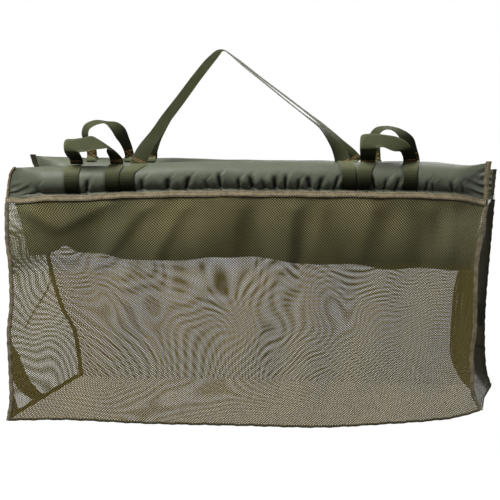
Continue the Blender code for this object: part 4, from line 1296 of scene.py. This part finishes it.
LOOP_EDGES = {
    # Places of the outer and the inner edge of the webbing along each loop, in millimetres
    "front_left_loop": (
        (-378, -46, -280, -347, -46, -281), (-378, -52, -270, -346, -52, -272),
        (-383, -76, -255, -348, -76, -253), (-386, -92, -238, -347, -96, -247),
        (-387, -88, -227, -347, -102, -245), (-384, -78, -216, -344, -102, -243),
        (-363, -74, -214, -338, -101, -243), (-341, -72, -211, -326, -99, -241),
        (-322, -72, -207, -312, -98, -238), (-306, -76, -213, -290, -102, -235),
        (-294, -78, -220, -275, -104, -233), (-279, -70, -232, -280, -103, -236),
        (-264, -64, -245, -282, -90, -245), (-254, -56, -257, -280, -74, -256),
        (-248, -48, -268, -279, -56, -267), (-247, -46, -280, -279, -46, -280),
    ),
    "front_right_loop": (
        (341, -46, -280, 378, -46, -280), (339, -56, -265, 377, -56, -266),
        (336, -80, -247, 376, -82, -247), (334, -94, -232, 376, -100, -236),
        (335, -86, -217, 378, -104, -233), (338, -76, -206, 381, -104, -232),
        (360, -74, -201, 387, -104, -231), (397, -74, -204, 398, -102, -234),
        (429, -74, -210, 409, -100, -239), (449, -78, -220, 419, -98, -242),
        (460, -82, -231, 431, -92, -243), (471, -70, -247, 439, -74, -252),
        (479, -52, -264, 445, -54, -266), (482, -46, -280, 447, -46, -280),
    ),
    "rear_left_loop": (
        (-351, 58, -292, -322, 30, -288), (-350, 56, -276, -321, 28, -273),
        (-351, 48, -254, -321, 20, -253), (-357, 38, -230, -328, 8, -232),
        (-359, 32, -209, -337, -4, -216), (-351, 30, -190, -334, -6, -199),
        (-337, 30, -182, -324, -6, -191), (-317, 30, -178, -308, -6, -185),
        (-294, 28, -181, -295, -7, -184), (-268, 22, -183, -280, -10, -199),
        (-250, 24, -196, -270, -4, -218), (-239, 38, -227, -259, 11, -238),
        (-232, 51, -255, -252, 24, -259), (-229, 57, -276, -250, 30, -275),
        (-229, 58, -292, -251, 31, -288),
    ),
    "rear_right_loop": (
        (378, 58, -299, 400, 30, -295), (376, 56, -278, 399, 30, -275),
        (372, 47, -252, 396, 20, -249), (369, 37, -230, 393, 8, -229),
        (371, 31, -212, 391, -4, -212), (385, 30, -197, 400, -6, -202),
        (410, 30, -193, 412, -6, -199), (441, 28, -198, 428, -8, -205),
        (463, 24, -208, 441, -7, -220), (481, 30, -224, 453, 4, -241),
        (492, 44, -251, 462, 18, -261), (501, 55, -278, 469, 29, -280),
        (504, 58, -299, 470, 32, -296),
    ),
}
HANDLE_LINES = {
    # Up the left leg to the hang point and down the right: X and Z in millimetres, share of a quarter turn
    "front": (
        (-213, -284, 0), (-207, -270, 0.03), (-197, -250, 0.2), (-184, -229, 0.4), (-171, -212, 0.47),
        (-143, -172, 0.52), (-102, -119, 0.56), (-62, -66, 0.6), (-25, -22, 0.68), (-9, -7, 0.8),
        (-2, -3.2, 0.92), (4, -3.2, 1), (12, -8, 1), (30, -22.5, 0.99), (42, -33, 0.99), (97, -77, 0.985),
        (153, -121.7, 0.985), (203, -160.7, 0.98), (241, -190.3, 0.9), (264, -216, 0.72), (281, -239, 0.5),
        (292, -259, 0.22), (298, -276, 0), (304, -287, 0),
    ),
    "rear": (
        (-188, -286, 0), (-188, -272, 0.05), (-185, -258, 0.25), (-175, -238, 0.5), (-148, -192, 0.72),
        (-105, -131, 0.84), (-64, -76, 0.9), (-26, -27, 0.95), (-9, -9, 0.98), (-3, -5, 1), (3, -4.8, 1),
        (12, -9.5, 1), (28, -21, 0.98), (97, -74.5, 0.965), (155, -118, 0.96), (206, -156.8, 0.95),
        (249, -190.7, 0.88), (278, -217, 0.8), (306, -245.7, 0.66), (324, -266, 0.45), (330, -277, 0.2),
        (337, -289, 0),
    ),
}
HANDLE_FOOT_DROP = 274


def build_handle(side):
    """Carrying handle: its legs turn edge on towards the hang point."""
    name = side.name + "_handle"
    seat_y = side.outward * (WEB_WIDTH / 2 + 0.25 * MM)
    table = np.array(HANDLE_LINES[side.name], float)
    far = along_curve(table[:, :2] * MM)
    fine = np.linspace(0, far[-1], int(far[-1] / WEB_STEP))
    x, z, twist = (hermite(far, table[:, k], np.gradient(table[:, k], far), fine) for k in range(3))
    y = mix(seat_y, side.axis_y, np.clip(-z / HANDLE_FOOT_DROP, 0, 1))
    rows = turned_rows(np.stack([x * MM, y, z * MM], -1), twist)
    build_swinging(name, rows, SMOOTH_WEBBING, HANDLE_PAINTED_LIGHT[side.name], handle_stitches)


# Stitches

STITCH_RADIUS = 0.7 * MM
STITCH_PITCH = 4.4 * MM
STITCH_LENGTH = 3.2 * MM
STITCH_SIDES = 6
STITCH_FORM = ((0, 0.35), (0.25, 1), (0.75, 1), (1, 0.35))


def stitch_mesh(name, lines, material, body=None):
    """Short thread stitches along lines of points, all in one mesh."""
    points, faces = [], []
    for line in lines:
        far = along_curve(line)
        for start in np.arange(STITCH_PITCH / 4, far[-1] - 0.6 * STITCH_LENGTH, STITCH_PITCH):
            add_stitch(points, faces, *(np.array([np.interp(at, far, line[:, k]) for k in range(3)])
                                        for at in (start, start + STITCH_LENGTH)))
    return new_object(name, points, faces, [(0, 0)] * len(points), material, body)


def on_strip(rows, path, face):
    """Points on a face of a strip of webbing, from distances along it and shares across it."""
    places, normal = strip_frame(rows)
    far = along_curve(places)
    out = WEB_THICKNESS / 2 + 0.1 * MM
    made = []
    for run, share in path:
        place, across, up = (np.array([np.interp(run, far, part[:, k]) for k in range(3)])
                             for part in (places, rows[:, 3:6], normal))
        made.append(place + across * share + up * face * out)
    return np.array(made)


def cross_stitches(rows, face, runs):
    """Rows of stitches straight across a strip, at distances from its start."""
    return [on_strip(rows, ((run, -0.42), (run, 0.42)), face) for run in runs]


def loop_stitches(rows, face):
    return cross_stitches(rows, face, (9 * MM, 13 * MM))


def handle_stitches(rows, face):
    return cross_stitches(rows, face, (11 * MM, 15 * MM))


def star_stitches(rows, face):
    """A sewn cross between two bars, near the start of a strip."""
    low, high = 19 * MM, 34 * MM
    ways = (((low, -0.36), (high, 0.36)), ((low, 0.36), (high, -0.36)), ((low, -0.4), (low, 0.4)),
            ((high, -0.4), (high, 0.4)))
    return [on_strip(rows, way, face) for way in ways]


def add_stitch(points, faces, start, end):
    """One stitch: a six sided thread that dips at both ends."""
    side = unit(np.cross(unit(end - start), [0.3, 1, 0.2]))
    up = np.cross(side, unit(end - start))
    first = len(points)
    for share, size in STITCH_FORM:
        place = mix(start, end, share)
        for k in range(STITCH_SIDES):
            angle = 2 * math.pi * k / STITCH_SIDES
            points.append(place + STITCH_RADIUS * size * (side * math.cos(angle) + up * math.sin(angle)))
    for ring in range(len(STITCH_FORM) - 1):
        for k in range(STITCH_SIDES):
            a = first + ring * STITCH_SIDES + k
            b = first + ring * STITCH_SIDES + (k + 1) % STITCH_SIDES
            faces.append((a, b, b + STITCH_SIDES, a + STITCH_SIDES))


def build_stitches(side):
    """Two rows of stitches along the seam tape, and one down each edge tape."""
    lines = []
    for drop in (2.8 * MM, 11 * MM):
        slope = TAPE_TILT * (drop - TAPE_WIDTH / 2)
        lines.append(seam_tape_line(side, TAPE_LAYER + 0.9 * MM + TAPE * 0.7 + slope, drop))
    stitch_mesh(side.name + "_seam_stitching", lines, RUST_THREAD, side.body)
    lines = []
    for right in (False, True):
        edge = edge_line(side, right, np.linspace(0.02, 0.99, 120))
        edge[:, 0] += INWARD[right] * 7 * MM
        edge[:, 1] += side.outward * 1.75 * MM
        lines.append(edge)
    stitch_mesh(side.name + "_tape_stitching", lines, RUST_THREAD, side.body)


def main():
    for side, seed in ((FRONT, FRONT_SEED), (REAR, REAR_SEED)):
        build_sleeve(side, seed)
        build_foam(side)
        build_seam_tape(side)
        build_legs(side)
        for end in ENDS:
            build_loop(side, end)
        build_handle(side)
        build_stitches(side)
    build_panel(FRONT)
    build_panel(REAR)
    build_gussets()
    build_bottom()
    build_flap()
    build_bottom_seam(FRONT)
    for side in SIDES:
        for right in (False, True):
            build_edge_tape(side, right)
            build_sleeve_end_tape(side, right)
    for right in (False, True):
        build_bottom_tape(right)


def build_camera():
    lens = bpy.data.cameras.new("camera")
    lens.lens = CAMERA_LENS
    lens.sensor_width = SENSOR_WIDTH
    lens.clip_end = 100
    camera = bpy.data.objects.new("camera", lens)
    bpy.context.scene.collection.objects.link(camera)
    camera.location = CAMERA_PLACE
    camera.rotation_euler = (CAMERA_PITCH, 0, 0)
    bpy.context.scene.camera = camera


def area_light(name, direction, away, size, strength, colour):
    """Soft box that lights the middle of the bag; strength is the light that falls square on it."""
    light = bpy.data.lights.new(name, "AREA")
    light.shape = "RECTANGLE"
    light.size, light.size_y = size
    light.energy = math.pi ** 2 * away ** 2 * strength
    light.color = colour
    lamp = bpy.data.objects.new(name, light)
    bpy.context.scene.collection.objects.link(lamp)
    lamp.location = LIT_PLACE + Vector(direction).normalized() * away
    lamp.rotation_euler = (LIT_PLACE - lamp.location).to_track_quat("-Z", "Y").to_euler()


LIGHTS = (
    # Name, direction from the bag, distance, size, strength and colour
    ("key_box", (-0.42, -0.5, 0.82), 3.6, (1.7, 1.5), 1.22, (1, 0.985, 0.955)),
    ("top_box", (0.35, 0.5, 0.8), 3.6, (1.6, 1.6), 0.42, (1, 0.99, 0.97)),
    ("side_box", (1, -0.35, 0.1), 3.6, (1.6, 1.6), 0.14, (1, 1, 1)),
    ("front_box", (0.3, -1, 0.05), 4, (2.4, 2), 0.035, (1, 1, 1)),
    ("back_box", (0.35, 1, 0.22), 3.6, (2, 1.4), 0.35, (1, 1, 1)),
)
ROOM_COLOUR = (1, 0.98, 0.93, 1)
ROOM_STRENGTH = 0.032
WHITE = (1, 1, 1, 1)


def build_stage():
    """White paper floor that gives no light back to the sling, soft boxes round it and a white room."""
    low = CAD_BOX[0].z - FLOOR_DROP
    square = ((0, 0), (1, 0), (1, 1), (0, 1))
    corners = [((2 * x - 1) * FLOOR_HALF, (2 * y - 1) * FLOOR_HALF, low) for x, y in square]
    floor = new_object("floor", corners, [(0, 1, 2, 3)], square, floor_paper())
    floor.visible_diffuse = False
    floor.visible_glossy = False
    world = bpy.data.worlds.new("room")
    bpy.context.scene.world = world
    world.use_nodes = True
    nodes = world.node_tree.nodes
    links = world.node_tree.links
    room = nodes["Background"]
    seen = nodes.new("ShaderNodeBackground")
    for shown, colour, strength in ((room, ROOM_COLOUR, ROOM_STRENGTH), (seen, WHITE, 1)):
        shown.inputs["Color"].default_value = colour
        shown.inputs["Strength"].default_value = strength
    path = nodes.new("ShaderNodeLightPath")
    blend = nodes.new("ShaderNodeMixShader")
    links.new(path.outputs["Is Camera Ray"], blend.inputs[0])
    links.new(room.outputs[0], blend.inputs[1])
    links.new(seen.outputs[0], blend.inputs[2])
    links.new(blend.outputs[0], nodes["World Output"].inputs["Surface"])
    for light in LIGHTS:
        area_light(*light)
    bpy.context.scene.view_settings.view_transform = "Standard"


main()
build_camera()
build_stage()
bpy.context.view_layer.update()
